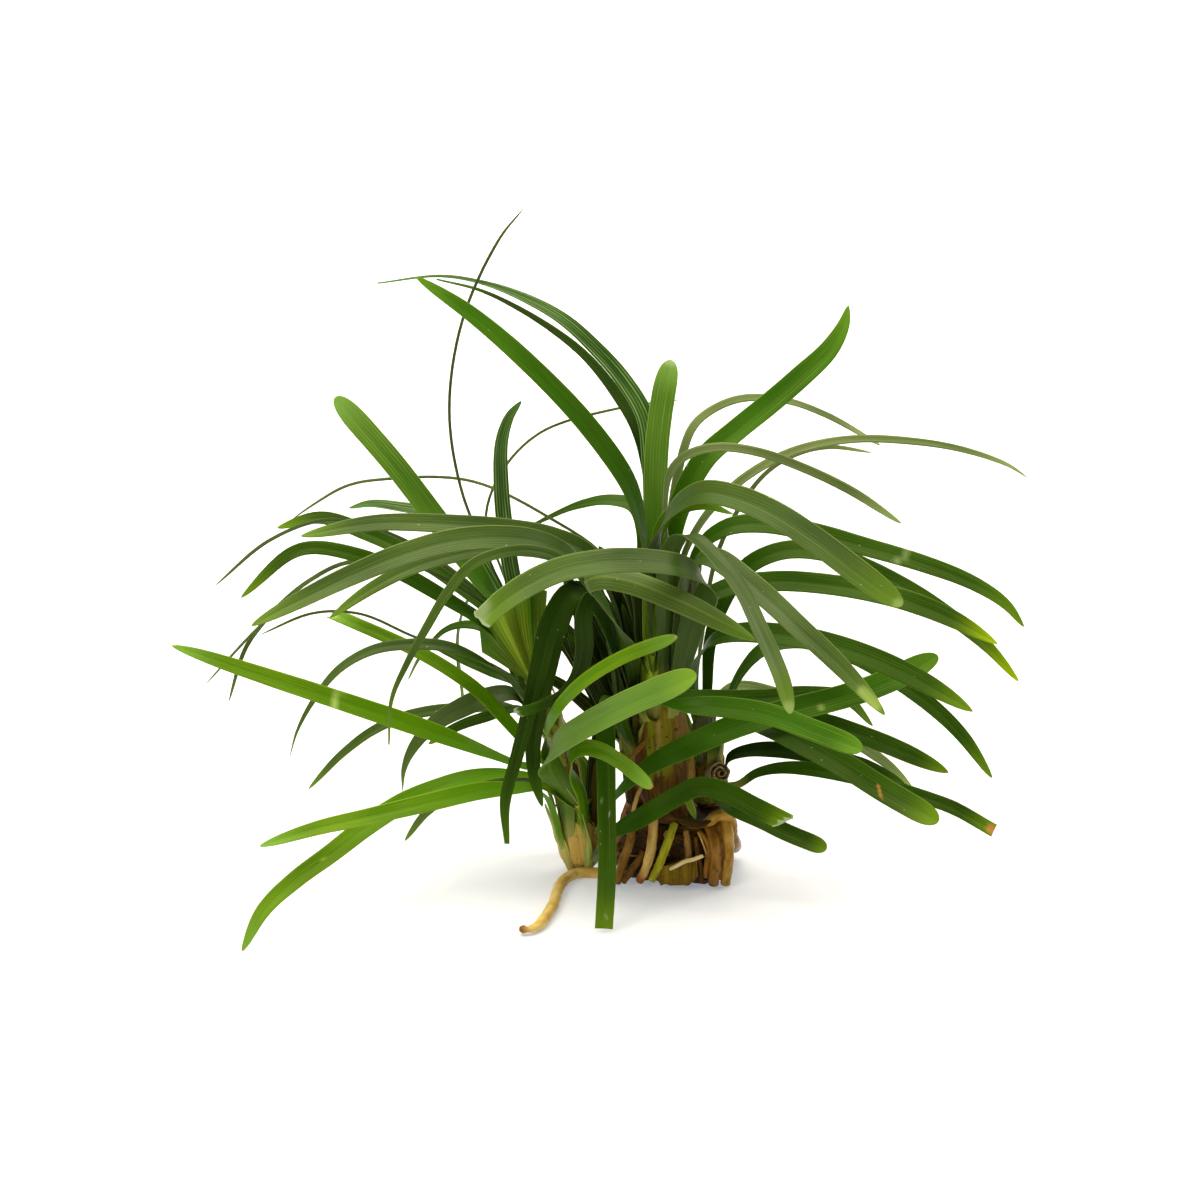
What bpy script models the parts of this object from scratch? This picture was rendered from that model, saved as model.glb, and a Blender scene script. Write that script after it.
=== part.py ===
"""Dwarf mondo grass: a small clump out of its pot, standing on its block of soil and roots.

Five shoots grow from the block. Each is a short stem of wrapped leaf sheaths that opens into a fan of narrow,
arching leaves. One thick root leaves the block and lies on the surface in front.

The clump stands on the plane z = 0, with its origin at the centre of the block's flat underside. +Z is up and
-Y is the front. Lengths in the tables are millimetres.
"""
import math

import bmesh
import bpy
import numpy
from mathutils import Quaternion, Vector, noise

MM = 0.001
WELD = 1e-7                         # metres; joins a curve's loose caps to its side

# The root block
BLOCK_WIDTH = 20.5
BLOCK_DEPTH = 18.0
BLOCK_HEIGHT = 11.5
BLOCK_TURN = math.radians(-9)       # its right-hand front corner comes forward
BLOCK_CUTS = 5                      # subdivisions of each side before it is roughened
BLOCK_ROUGHNESS = 0.9               # how far lumps stand out and dents go in
BLOCK_GRAIN = 0.35                  # lumps of soil per millimetre
BLOCK_SQUARENESS = 6                # the power of the rounded box; 2 would be an ellipsoid
BLOCK_SUNK = 0.25                   # the block is cut off this high above its lowest lump
SLAB = 60.0                         # side of the slabs that cut the block off flat
SLAB_THICKNESS = 8.0

# The leaves
LEAF_THICKNESS = 0.46               # over the midrib; the margins are thin
LEAF_FOLD = 0.11                    # how far the margins stand above the midrib, as a share of the width
BASE_SHARE = 0.46                   # the width where a leaf leaves its sheath, as a share of the widest
WIDEST_FROM = 0.4                   # share of the length from which it is at its widest
SHORTEST_SPAN = 1e-6                # keeps the curve's shares from a division by nought
CURVE_STEPS = 12                    # steps between two given points, before they are spaced out evenly
PATH_STEPS = 60                     # steps along a leaf's smoothed midrib
STATIONS = (0, 8, 16, 24, 31, 37, 43, 49, 54, 58, 60)
SMALL_STATIONS = (0, 9, 18, 27, 36, 45, 53, 60)       # for the small leaves that are one with a crown
MOST_TWIST = math.radians(115)      # a blade leans over towards its side of the clump by no more than this
TWIST_START, TWIST_END = 0.05, 0.5  # share of the length over which it leans over

# How each kind of tip closes: the share of the length where it starts, how much narrower the blade gets
# before its end and with what power, and the power and bluntness of the rounding. Leaves of other kinds end
# square, cut or broken.
TIPS = {
    "long": (0.3, 0.0, 1, 1.7, 1.0),
    "pointed": (0.45, 0.32, 1.6, 8, 0.6),
    "rounded": (0.72, 0.0, 1, 3, 0.7),
    "blunt": (0.85, 0.0, 1, 4, 0.5),
}
TIP_THINNING = 0.4                  # share of its thickness that a blade loses towards a narrow tip
FULL_THICKNESS_FROM = 0.71          # share of the widest above which it has its whole thickness
CUT_NARROWING = 0.12                # how much narrower a cut or broken leaf is at its end
BREAK_SLANT = 0.5                   # how far one corner of a broken end falls short, in widths
LEAST_STAND = 0.6                   # mm from a crown's middle line to any leaf's base
FUSED_INSIDE = 0.2                  # where a leaf that is one with its crown starts, as a share of the radius

# Where leaves stand on a crown, by ring: distance outside the crown's own radius, and height above its top
RINGS = {0: (-1.75, 0.4), 1: (-0.75, 0.4), 2: (0.6, -4.0), 3: (0.6, -9.0)}

CROWN_STEPS = 9                     # steps along a crown's middle line
CROWN_SIDES = 10
GROUND_GAP = 0.25                   # a leaf tip on the ground clears it by this much

# Leaves and roots were measured from one place in front of the clump: how far across and up they are from
# the middle of the block's underside, as seen from there, and how far behind it they are (in front when
# negative).
SIGHT_TILT = math.radians(20)       # the place looks down at the clump by this angle
SIGHT_RANGE = 750.0                 # and is this far from the point that it looks at
SIGHT_ACROSS, SIGHT_UP = -13.8, 48.7

RIGHT = Vector((1, 0, 0))
UPWARD = Vector((0, math.sin(SIGHT_TILT), math.cos(SIGHT_TILT)))
TOWARD = Vector((0, -math.cos(SIGHT_TILT), math.sin(SIGHT_TILT)))
EYE = RIGHT * SIGHT_ACROSS + UPWARD * SIGHT_UP + TOWARD * SIGHT_RANGE

FRONT, UP = Vector((0, -0.72, 0.69)), Vector((0, -0.1, 1))
FACINGS = {"front": FRONT, "up": UP, "own": None}

LEAF_GREEN = (0.035, 0.13, 0.012, 1)
YOUNG_GREEN = (0.12, 0.30, 0.02, 1)
SHEATH_BROWN = (0.20, 0.11, 0.035, 1)
BULB_TAN = (0.44, 0.33, 0.12, 1)
SOIL_BROWN = (0.045, 0.022, 0.008, 1)
ROOT_CREAM = (0.62, 0.46, 0.22, 1)

# Each crown: its spine as (x, y, z, radius), and its colour
CROWNS = {
    "left": ([(-17.1, -0.7, 0.5, 2.1), (-17.3, -0.8, 3.0, 3.0), (-17.9, -1.2, 7.5, 3.0),
              (-18.5, -1.8, 11.6, 2.4)], BULB_TAN),
    "back": ([(-13.8, 8.0, 1.8, 1.7), (-15.2, 8.5, 5.5, 1.7), (-18.4, 9.0, 13.7, 1.5),
              (-22.5, 9.0, 24.4, 1.7), (-25.4, 9.0, 31.0, 2.6)], YOUNG_GREEN),
    "inner": ([(-6.8, 3.0, 11.8, 2.2), (-7.2, 3.0, 20.0, 2.3), (-8.0, 2.2, 31.5, 2.0)], SHEATH_BROWN),
    "centre": ([(-1.5, -3.0, 11.8, 3.9), (-2.0, -2.6, 19.0, 4.6), (-3.0, -1.6, 30.0, 3.5),
                (-3.8, -1.0, 39.0, 2.7)], SHEATH_BROWN),
    "right": ([(6.4, 2.0, 12.0, 2.7), (5.6, 2.5, 17.0, 2.7), (4.6, 3.0, 23.2, 2.3)], SHEATH_BROWN),
}

# Each leaf: widest, tip, facing, (ring, degrees round the crown from the right, anticlockwise from above),
# then the route of its midrib after its base. A last point with no depth lies on the ground.
LEAVES = {
    "left": [
        (3.8, "pointed", "front", (1, 174), [
            (-24.2, 17.5, 1.3), (-28.5, 18.6, -1), (-35, 21.1, -4), (-45, 24.9, -8), (-65, 31.6, -15),
            (-76, 35.2, -18), (-91.7, 40.4, -24)]),
        (3.6, "pointed", "front", (3, 225), [
            (-24.6, 13.9, -7), (-30, 14.3, -10), (-36, 13.8, -14), (-45, 11.8, -20), (-55, 9.4, -25),
            (-65, 7.2, -29), (-75.7, 3.9, -33)]),
        (3.9, "pointed", "front", (2, 205), [
            (-24.3, 15.6, -4.2), (-30, 17, -5.5), (-36, 16.6, -8), (-43, 14.5, -12), (-50, 11.5, -16),
            (-56.5, 7.3, -21), (-63, 2.3, -26), (-69, -2.1, -31), (-75, -7.8, -36), (-78.9, -15.2)]),
        (3.6, "blunt", "front", (1, 115), [
            (-21.3, 17.5, 1.8), (-25, 20.3, 2.4), (-30.5, 26.4, 3), (-35.5, 31.7, 4), (-41, 35.8, 5),
            (-48, 39.8, 7), (-63.5, 46.7, 12)]),
        (5.6, "rounded", "front", (2, 242), [
            (-20.2, 13.5, -7), (-22.4, 17.2, -11), (-23.2, 20.2, -16), (-21, 22.7, -21), (-15, 26.4, -28),
            (-8, 30, -34), (3.8, 34.9, -39)]),
        (2.8, "pointed", "front", (1, 250), [
            (-20.8, 16.5, -5.2), (-23.4, 20.5, -9), (-23.4, 25, -14.5), (-20.6, 30, -20),
            (-16, 34.4, -23), (-9.5, 38.3, -25), (0.3, 42, -27)]),
        (3.0, "blunt", "front", (2, 293), [
            (-17, 13, -7.6), (-19, 17.5, -11), (-18.8, 20.8, -15), (-16.5, 21.9, -19), (-12.5, 20.9, -24),
            (-8, 17.8, -28), (-4.2, 14.6, -31)]),
        (4.6, "blunt", "front", (2, 335), [
            (-12.8, 10.5, -8), (-9.3, 14.6, -11), (-4, 18.8, -12), (3, 22.3, -12.5), (11, 25.7, -12),
            (20, 28.4, -11), (30, 30.9, -10), (38, 33.6, -8.5), (47.7, 38.5, -7)]),
        (4.0, "broken", "front", (3, 310), [
            (-12.5, 5.6, -10.5), (-6.5, 8.9, -14), (-1, 12.2, -15), (4, 14.6, -15.5), (8.5, 13.9, -16),
            (14, 11.2, -17), (20.8, 7.8, -18)]),
    ],
    "centre": [
        (4.2, "blunt", "front", (0, 100), [
            (-3.6, 48, 1), (-3.7, 60, 1), (-3.5, 76, 2), (-2.2, 86.5, 3), (-0.9, 92.4, 4)]),
        (3.8, "pointed", "front", (1, 200), [
            (-5.6, 52, -3), (-6.2, 61, -4), (-8.9, 70, -5), (-16.2, 80.5, -7), (-25.1, 90, -9),
            (-36.4, 100, -11), (-47.3, 107.5, -12)]),
        (3.0, "long", "front", (1, 140), [
            (-4.7, 56, 4), (-4.7, 74, 8), (-5.7, 82, 10), (-9.6, 88.7, 13), (-14.4, 94.2, 15),
            (-20.6, 99.8, 17), (-28.6, 104.1, 20), (-36, 106.6, 22), (-43, 107.6, 24),
            (-54.2, 106.3, 27)]),
        (2.7, "long", "front", (2, 115), [
            (-4.3, 54, 7), (-4.4, 68, 12), (-6.8, 79.2, 17), (-11, 86.4, 22), (-16.4, 93, 26),
            (-22.2, 97.7, 29), (-28.8, 101.8, 32), (-35.6, 105, 35), (-43.5, 107, 38)]),
        (4.2, "rounded", "front", (1, 50), [
            (-1.2, 54, 3), (0.2, 64, 5), (5, 74, 9), (10.8, 79.3, 12), (16.9, 84.2, 14), (22.7, 89.2, 16),
            (27.9, 94.2, 18), (30.5, 98.6, 19), (31.4, 102.3, 20)]),
        (1.6, "long", "front", (2, 75), [
            (-1.8, 54, 7), (-0.6, 66, 11), (1, 74.5, 14), (3, 80, 17), (6.2, 83, 20), (11.4, 85.2, 22),
            (19, 85.1, 25), (27, 82.4, 29), (37.2, 76.8, 34)]),
        (1.6, "long", "front", (1, 340), [
            (-1.2, 54, -4.5), (-1.9, 65, -8.6), (-0.8, 72.2, -11), (2.6, 75.3, -13), (8, 76.5, -15),
            (15, 75.6, -17), (22.5, 73, -18), (31.6, 68.7, -20), (41, 62.6, -22)]),
        (1.7, "pointed", "front", (2, 32), [
            (0.7, 54, 4), (4.6, 62.8, 6), (10.4, 69.2, 8), (15, 72.6, 10), (20, 75.2, 12), (25, 76.8, 13),
            (31, 77.8, 14), (38, 77.9, 15), (50, 76.5, 17), (60, 73.4, 19), (64, 70.9, 20)]),
        (3.3, "long", "front", (2, 152), [
            (-5.9, 52, 5), (-5.7, 61, 8), (-7.4, 65.6, 11), (-12, 66.8, 14), (-17, 66.1, 17),
            (-22, 64.2, 20), (-32.5, 58.8, 26)]),
        (4.4, "blunt", "front", (1, 270), [
            (-4.4, 52, -7.2), (-3.4, 60, -13), (0, 65.6, -19.5), (5, 68.2, -25.5), (11, 67.3, -30),
            (18, 64.3, -35), (25, 59.8, -39), (33, 53.8, -43), (41.2, 47.7, -46)]),
        (4.0, "blunt", "own", (2, 285), [
            (-1.8, 51, -10), (-0.9, 57.5, -15), (2.2, 60.4, -21), (8.2, 55.2, -28), (12, 50, -32),
            (14.6, 44.6, -36), (17, 39.4, -39), (19, 34.4, -42), (20.8, 28, -45)]),
        (4.4, "pointed", "front", (2, 322), [
            (1, 48, -8), (3.2, 55.5, -12), (7, 56.2, -17), (12.5, 52.4, -23), (17.5, 48.2, -27),
            (22.2, 43.8, -31), (27, 39.4, -34), (32, 34.4, -37), (38, 27.8, -41)]),
        (3.8, "pointed", "front", (2, 357), [
            (1.6, 50, -3), (4.5, 58.2, -4), (9.5, 61.8, -5.5), (16, 62.5, -7), (25, 60.9, -9),
            (35, 58.1, -11), (45, 55.2, -13), (54, 51.7, -14), (59.8, 48, -15), (63.3, 43.8, -16)]),
        (4.0, "rounded", "front", (3, 15), [
            (2, 43.5, 0), (4.6, 48.2, -0.5), (9.5, 50.9, -1), (18, 52, -2), (27, 51.5, -4),
            (35, 50.2, -5), (42.5, 48.3, -7), (50, 45.3, -8), (58.5, 40.7, -10)]),
        (4.8, "broken", "front", (3, 300), [
            (3, 44, -11), (5.6, 50.6, -18), (3, 54, -24), (-4.7, 55.6, -32), (-13.8, 55.5, -41),
            (-22.5, 53.6, -48), (-30.2, 49.4, -54), (-35.8, 44.6, -57)]),
        (4.0, "blunt", "front", (3, 235), [
            (-6.6, 29.2, -8.2), (-3.5, 29.8, -13), (3, 29.4, -17), (10, 29, -20), (17, 27.8, -23),
            (24, 25.3, -26), (33.9, 21.4, -29)]),
    ],
    "inner": [
        (4.6, "pointed", "front", (1, 201), [
            (-11.4, 42, -1.4), (-14.8, 50.5, -4.4), (-19, 56.4, -9.8), (-25, 59.2, -15), (-32, 60, -19),
            (-41, 59.3, -23), (-50.2, 56.7, -27), (-59.5, 52.9, -30), (-68.4, 48.6, -33),
            (-77.2, 44, -36)]),
        (4, "pointed", "front", (1, 120), [
            (-9.3, 42, 5.5), (-11.6, 51, 7), (-16, 57, 7), (-22.5, 60.1, 5), (-32, 61.7, 2),
            (-44.7, 62.6, -1), (-55, 62.6, -4), (-68.2, 60.3, -6)]),
        (3.2, "pointed", "front", (2, 154), [
            (-11.2, 42, 4.2), (-16, 51.5, 4), (-22, 56.8, 0), (-32, 58, -5), (-46.5, 55.1, -13),
            (-55, 51, -17), (-62.9, 45.5, -19)]),
        (2.8, "long", "front", (3, 198), [
            (-12.8, 43, -9), (-17, 52.5, -16.8), (-23, 57, -22), (-30, 57.6, -27), (-37, 55.2, -31),
            (-41.6, 50, -34), (-45.3, 43.8, -36), (-48.8, 37.4, -38), (-51.7, 30.6, -40),
            (-52.2, 22.4, -42)]),
        (3.8, "pointed", "front", (2, 239), [
            (-11.4, 42, -4.7), (-15, 49.3, -8.4), (-19, 50, -11), (-22.7, 44.5, -12.5),
            (-24.9, 36, -13.5), (-26.8, 28, -14.5), (-28.8, 20.5, -16), (-31, 12, -18.5),
            (-30.7, 4.4, -20)]),
        (4.2, "broken", "front", (3, 233), [
            (-10.8, 39, -9.5), (-12.6, 45.5, -15), (-15.4, 49, -17.5), (-16.9, 46, -18.5),
            (-16.8, 40, -18), (-17.8, 35.6, -17), (-20.3, 32.2, -16), (-24.5, 29.8, -16.5),
            (-29.6, 28.2, -17.5)]),
        (3.6, "pointed", "front", (2, 191), [
            (-12, 42, 1.6), (-15.2, 49, 0.8), (-18.5, 49.8, -1), (-21.3, 44, -3.4), (-23.1, 37, -5.4),
            (-24.7, 30, -7.4), (-25.9, 23, -9.5), (-25.7, 17, -11), (-24.3, 11.1, -12)]),
        (3.6, "cut", "front", (3, 272), [
            (-9.8, 26, -6.5), (-11.4, 31, -11.5), (-12.6, 28.5, -15), (-12.7, 20, -18),
            (-12.6, 10, -21.5), (-12.5, 0, -26.5), (-13.1, -11)]),
        (3.4, "pointed", "front", (2, 277), [
            (-6.4, 32.8, -5.8), (-2, 31.3, -9.4), (4.4, 30.8, -10), (15.3, 30.8, -8.4), (24, 31.6, -5),
            (30.5, 30.9, -3), (35.8, 25.8, -1)]),
        (4.2, "rounded", "front", (1, 299), [
            (-8.2, 38, -8.8), (-11, 44.5, -18), (-15, 50.2, -23), (-16.4, 51.8, -24.5),
            (-13.5, 52.8, -26), (-8, 51.9, -27), (0, 48.8, -28), (7, 45.4, -29), (14.5, 41.3, -30)]),
    ],
    "right": [
        (3.7, "pointed", "front", (1, 60), [
            (5.8, 33, 4.5), (6.3, 41, 5), (8.6, 48, 5), (13, 54.6, 4.5), (19.5, 57.6, 3.5), (27, 57.3, 2),
            (35, 54.3, 1), (43, 50.2, -0.5), (50, 45.6, -2), (56.5, 40.3, -3), (62.3, 33.9, -4)]),
        (4.2, "rounded", "front", (1, 300), [
            (3.4, 30, 0), (4.4, 38.7, -3), (8.9, 42.2, -6), (20, 42.2, -10), (32, 39.4, -13),
            (44, 34.2, -16), (54, 28.4, -19)]),
        (3.6, "pointed", "front", (2, 20), [
            (9.2, 28, 5.5), (11.4, 34.5, 8), (16.2, 39.8, 9), (22.5, 41.3, 9), (31.6, 38.9, 7),
            (40, 34.1, 5), (47, 28.9, 3), (52, 24, 2), (57.5, 16.3, 0)]),
        (3.2, "pointed", "front", (3, 345), [
            (9.6, 19.8, -2), (13, 21.2, -3), (18, 21.4, -4), (24.4, 20.6, -6), (33.5, 18.8, -8),
            (41.6, 15.2, -10)]),
        (3.0, "cut", "front", (3, 20), [
            (11.4, 15.2, 3), (14.5, 17.2, 4), (19, 18.2, 4), (25, 17.9, 4), (31.6, 16.6, 3),
            (44.4, 13, 2), (50.5, 10.8, 1), (57.8, 6.7, 0)]),
        (4.6, "blunt", "front", (2, 290), [
            (8.2, 24.6, -4), (12.5, 26.2, -7), (18, 25.1, -11), (24.5, 21.9, -14), (31, 18.3, -17),
            (38, 13.9, -20), (47.7, 8.3, -25)]),
        (3.6, "rounded", "front", (2, 335), [
            (9, 25.5, 0.5), (18, 27.6, -1.5), (26.2, 26.5, -3.5), (33.5, 24.2, -5), (41, 21.2, -7),
            (49.6, 17.3, -8)]),
        (2.8, "pointed", "front", (2, 75), [
            (6.4, 27, 8), (10, 32.5, 13), (18, 31.5, 17), (27, 27, 19), (33.5, 22.3, 19.5),
            (38.4, 18.8, 19.5), (42.9, 14.7, 19)]),
        (3.3, "blunt", "front", (3, 255), [
            (6.6, 13, -7), (10.5, 10.8, -11), (15.3, 8.7, -13), (20.5, 6.2, -15), (27.4, 3.4, -17)]),
    ],
    "back": [
        (4.2, "blunt", "front", (1, 214), [
            (-28.9, 42, 9), (-36.2, 53.3, 6.5), (-43.6, 63.3, 6), (-51.5, 73.6, 5), (-62, 85.6, 4)]),
        (3.1, "pointed", "front", (2, 5), [
            (-26.2, 42, 8.6), (-29.3, 51, 9.6), (-31, 61, 11), (-31.8, 70, 12), (-31.7, 77.5, 12),
            (-30.3, 82, 13), (-28.1, 84.9, 13)]),
        (3.0, "pointed", "front", (2, 228), [
            (-32.6, 41.5, 5.2), (-46.5, 51.7, 4), (-58, 56.8, 3), (-68.4, 57.8, 2), (-79.1, 49.1, 0)]),
        (3.4, "pointed", "front", (1, 156), [
            (-31, 43.5, 12.4), (-38, 50.4, 14), (-47, 56.6, 16), (-56.6, 61, 17.5), (-64.5, 63.6, 19),
            (-72.5, 61.8, 20)]),
        (2.4, "pointed", "front", (1, 105), [
            (-29.2, 43.5, 15), (-34, 53.5, 19.5), (-40, 61.2, 23), (-45.5, 64.6, 25), (-50.5, 65.7, 26.5),
            (-55.5, 66.2, 28), (-59.5, 65.4, 29)]),
        (2.6, "long", "front", (3, 250), [
            (-30.5, 34.3, 2.6), (-36, 38, 1.5), (-42, 40.2, 0), (-48.4, 40.6, -1.5), (-55, 39.6, -3),
            (-61, 36.3, -5), (-65.5, 31, -7), (-68.8, 25, -8.5), (-70.5, 18.9, -9)]),
        (2.2, "pointed", "front", (3, 140), [
            (-30.5, 29.3, 14), (-36, 29, 16.5), (-43, 28.7, 19), (-49.5, 27.4, 21), (-55, 24.9, 22),
            (-60.5, 20.8, 23), (-66.8, 14.3, 24)]),
        (4.4, "long", "front", (3, 191), [
            (-29.5, 31.4, 7.4), (-35, 30.6, 6.5), (-40, 28.5, 6), (-44.3, 25.8, 5.5), (-47.6, 22, 5),
            (-49.4, 18, 5), (-49.7, 13.5, 5)]),
        (2.4, "pointed", "front", (2, 85), [
            (-28.6, 42, 18), (-33.5, 49.5, 25), (-37.5, 49, 30), (-39.6, 42.5, 32), (-38.7, 30.5, 33)]),
    ],
}

# Leaves, buds and sheaths that are one solid with their crown: widest, tip, facing, (height above the crown's
# top, degrees round it) of the place where each starts inside the crown, and its route
FUSED_LEAVES = {
    "left": [
        (1.5, "pointed", "own", (-8.5, 195), [
            (-21.3, 4.5, -2), (-22.4, 8, -2.4), (-23.8, 11.7, -3)]),
        (2.0, "pointed", "front", (-2.5, 165), [
            (-23, 14.2, 3), (-30, 16.3, 3.5), (-38, 14.5, 2), (-45, 10.3, 1), (-49.3, 4.9, 0)]),
        (2.4, "pointed", "front", (-2.5, 60), [
            (-16.2, 14, 2.5), (-16.4, 18.2, 3.5), (-18.6, 21.4, 4)]),
        (2.8, "long", "front", (-6.5, 50), [
            (-15.2, 13, 1.6), (-15, 18, 2.2), (-14.6, 24, 2.4), (-14, 29, 2.4)]),
        (1.8, "pointed", "front", (-8, 10), [
            (-14.4, 9, 0.4), (-14.6, 14, 0.6), (-14.4, 19.5, 1)]),
    ],
    "centre": [
        (2.2, "rounded", "front", (-1.6, 300), [
            (-3.8, 52, -3.4), (-3.6, 58.5, -6.8), (-1.8, 63.5, -11), (1.5, 65.6, -14), (5.5, 66, -16),
            (10.5, 64.3, -18)]),
        (1.6, "rounded", "own", (-26, 292), [
            (1.3, 13.8, -10.3), (2.6, 11.3, -12.2), (3.6, 8.9, -12.6)]),
        (2.4, "pointed", "own", (-20, 240), [
            (-6.4, 20.4, -8), (-6.9, 21.6, -9.4), (-5.4, 22.8, -10.4)]),
    ],
    "inner": [
        (0.85, "long", "front", (-1.6, 60), [
            (-8.2, 45, 9.4), (-12.5, 56, 13), (-22.9, 63.6, 16), (-37.5, 70.4, 20), (-53.8, 70.6, 17),
            (-60, 69.4, 15.5), (-66, 66, 14), (-70, 63.2, 13)]),
        (3.6, "pointed", "front", (-12, 150), [
            (-11.6, 26, 5), (-14.6, 36, 6), (-16.8, 44, 6.5), (-18.6, 51, 7)]),
        (3.4, "pointed", "front", (-5, 120), [
            (-10.6, 33, 8), (-12.6, 44, 10), (-15.5, 52, 11.5), (-19, 57, 12)]),
        (3.0, "pointed", "front", (-5, 80), [
            (-7.4, 33, 8), (-8.2, 44, 10), (-10.5, 53, 12), (-14, 58.5, 13)]),
    ],
    "right": [
        (0.85, "long", "front", (-1.6, 130), [
            (3.6, 31, 6.4), (5, 44, 11), (7.5, 57, 15), (12.5, 67, 18), (17.1, 72.4, 20),
            (22.5, 75.4, 21), (28, 76.5, 22), (35.6, 75.5, 24)]),
    ],
    "back": [
        (0.8, "long", "front", (-0.6, 90), [
            (-27.5, 41.5, 11.4), (-33.9, 56, 14), (-39, 68.7, 16), (-41.2, 83.3, 18), (-38.8, 99.6, 20),
            (-32.2, 114.2, 22), (-27.6, 120, 23)]),
        (0.7, "long", "front", (-0.6, 60), [
            (-27, 42, 13), (-32, 55, 20), (-34.6, 63, 24), (-32, 71.5, 28), (-24.7, 79.1, 32),
            (-10.2, 83.6, 36), (0.7, 85.1, 39)]),
        (0.9, "long", "front", (-0.6, 90), [
            (-27.9, 42, 11), (-34.5, 49, 10), (-41.1, 54, 8.4), (-50.2, 60, 5), (-62.9, 63.3, 0),
            (-73.8, 59.6, -5), (-83.8, 51.3, -10)]),
        (1.0, "long", "front", (-0.6, 90), [
            (-27.9, 42, 11), (-34.5, 47.8, 9.6), (-42, 52.5, 8), (-50.2, 55.8, 7), (-60.2, 55.4, 4.5),
            (-66.5, 52.3, 1), (-71.1, 48.7, -2), (-75.3, 44.2, -5), (-78.4, 39.6, -8),
            (-81.3, 30.2, -11)]),
        (0.7, "long", "front", (-0.6, 90), [
            (-27.9, 41.4, 10.8), (-34.5, 45.6, 9.4), (-42, 50.2, 8), (-50, 53.4, 4), (-56, 53.8, 1),
            (-63, 52.2, -3), (-70.2, 48.4, -7), (-75.6, 44, -10), (-85.6, 33.3, -14)]),
        (0.75, "long", "front", (-3.6, 182), [
            (-30, 35, 9.2), (-36, 38.2, 7.4), (-42, 40.3, 5.5), (-47.5, 42, 4), (-57.5, 46.2, 1),
            (-66, 46.3, -1), (-75.6, 42.4, -3)]),
        (2.4, "pointed", "front", (-2.5, 160), [
            (-29.5, 33.8, 12), (-37.5, 37.5, 15), (-42.9, 40.1, 17), (-45.6, 41.2, 18)]),
        (1.9, "pointed", "front", (-6, 112), [
            (-28.2, 33, 15), (-31, 39.5, 18), (-35, 43.6, 21.5), (-41.1, 43.6, 26), (-46.5, 38.3, 29),
            (-48.7, 34.2, 30)]),
        (4.0, "cut", "front", (-3, 250), [
            (-28, 37, 5), (-32.5, 41.5, 3), (-35.4, 44.4, 2)]),
        (4.6, "cut", "front", (-4.4, 275), [
            (-27, 38, 3.4), (-29.6, 44, 3), (-31.2, 49, 2)]),
        (3.2, "cut", "front", (-3, 335), [
            (-24.6, 39, 6), (-26, 45, 4), (-25.6, 50, 3.6)]),
        (2.2, "pointed", "front", (-7, 168), [
            (-28.4, 28.8, 11), (-35, 27.3, 12), (-40, 25.5, 13), (-45, 22.5, 14)]),
    ],
}

FOLDED_STEPS = 6                    # steps along each folded root
FOLDED_SIDES = 6
FOLDED_END_SHARE = 0.8              # a folded root's ends are thinner than its middle

# Roots folded against the block's sides: (diameter, points as x, y, z)
BLOCK_ROOTS = [
    (1.9, [(-4.6, -8.4, 11.4), (-4.9, -9.2, 8.2), (-5.4, -9.6, 4.5), (-5.0, -9.6, 1.6)]),
    (1.7, [(-1.4, -9.2, 9.4), (-2.6, -10.2, 6.6), (-3.9, -10.2, 4.2), (-4.2, -9.8, 1.8)]),
    (1.6, [(-8.3, -7.6, 8.8), (-8.9, -8.4, 5.4), (-9.8, -8.2, 2.4), (-10.6, -7.4, 1.2)]),
    (1.4, [(-6.4, -7.8, 6.2), (-7.7, -8.2, 3.0), (-8.3, -7.7, 1.2)]),
    (1.2, [(4.8, -9.8, 4.2), (2.6, -9.9, 3.0), (0.4, -9.5, 2.9), (-1.0, -9.0, 2.4)]),
    (3.4, [(7.6, -8.8, 9.6), (8.6, -9.3, 6.4), (8.5, -9.4, 3.2), (7.6, -9.2, 1.9)]),
    (2.6, [(9.6, -5.0, 9.2), (10.4, -2.0, 6.0), (10.7, 1.6, 3.6), (10.9, 5.0, 2.4)]),
    (1.8, [(8.0, 7.6, 9.8), (5.0, 8.8, 7.4), (0.6, 9.6, 5.8), (-4.0, 9.9, 5.4)]),
    (1.5, [(4.0, 8.6, 2.0), (-0.6, 9.4, 2.4), (-5.0, 10.2, 1.8), (-8.0, 10.0, 2.6)]),
    (1.7, [(-8.4, 9.6, 9.0), (-9.6, 6.0, 6.4), (-10.2, 2.0, 4.6), (-10.9, -2.6, 5.2)]),
    (1.4, [(-9.8, 7.6, 2.0), (-10.4, 3.6, 1.8), (-10.9, -0.6, 1.6), (-11.2, -4.6, 3.2)]),
]

# The root that lies free on the ground, as seen across and up from the front
FREE_ROOT_DIAMETER = 2.1
FREE_ROOT_TIP_SHARE = 0.6
FREE_ROOT_TIP_FROM = 0.8            # share of its length from which it thins
FREE_ROOT_STEPS = 18
FREE_ROOT_SIDES = 8
FREE_ROOT_CLEARANCE = 0.05          # between it and the ground
FREE_ROOT_ROUTE = [(-12.7, -1.0), (-15.0, -0.9), (-18.0, -1.0), (-20.4, -2.3), (-21.6, -4.4), (-22.3, -6.5),
                   (-23.6, -8.7), (-25.2, -10.6), (-26.8, -11.2), (-28.4, -11.1)]


def clear_scene():
    for thing in list(bpy.data.objects):
        bpy.data.objects.remove(thing, do_unlink=True)


def collection(name):
    """A new collection in the scene."""
    made = bpy.data.collections.new(name)
    bpy.context.scene.collection.children.link(made)
    return made


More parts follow.
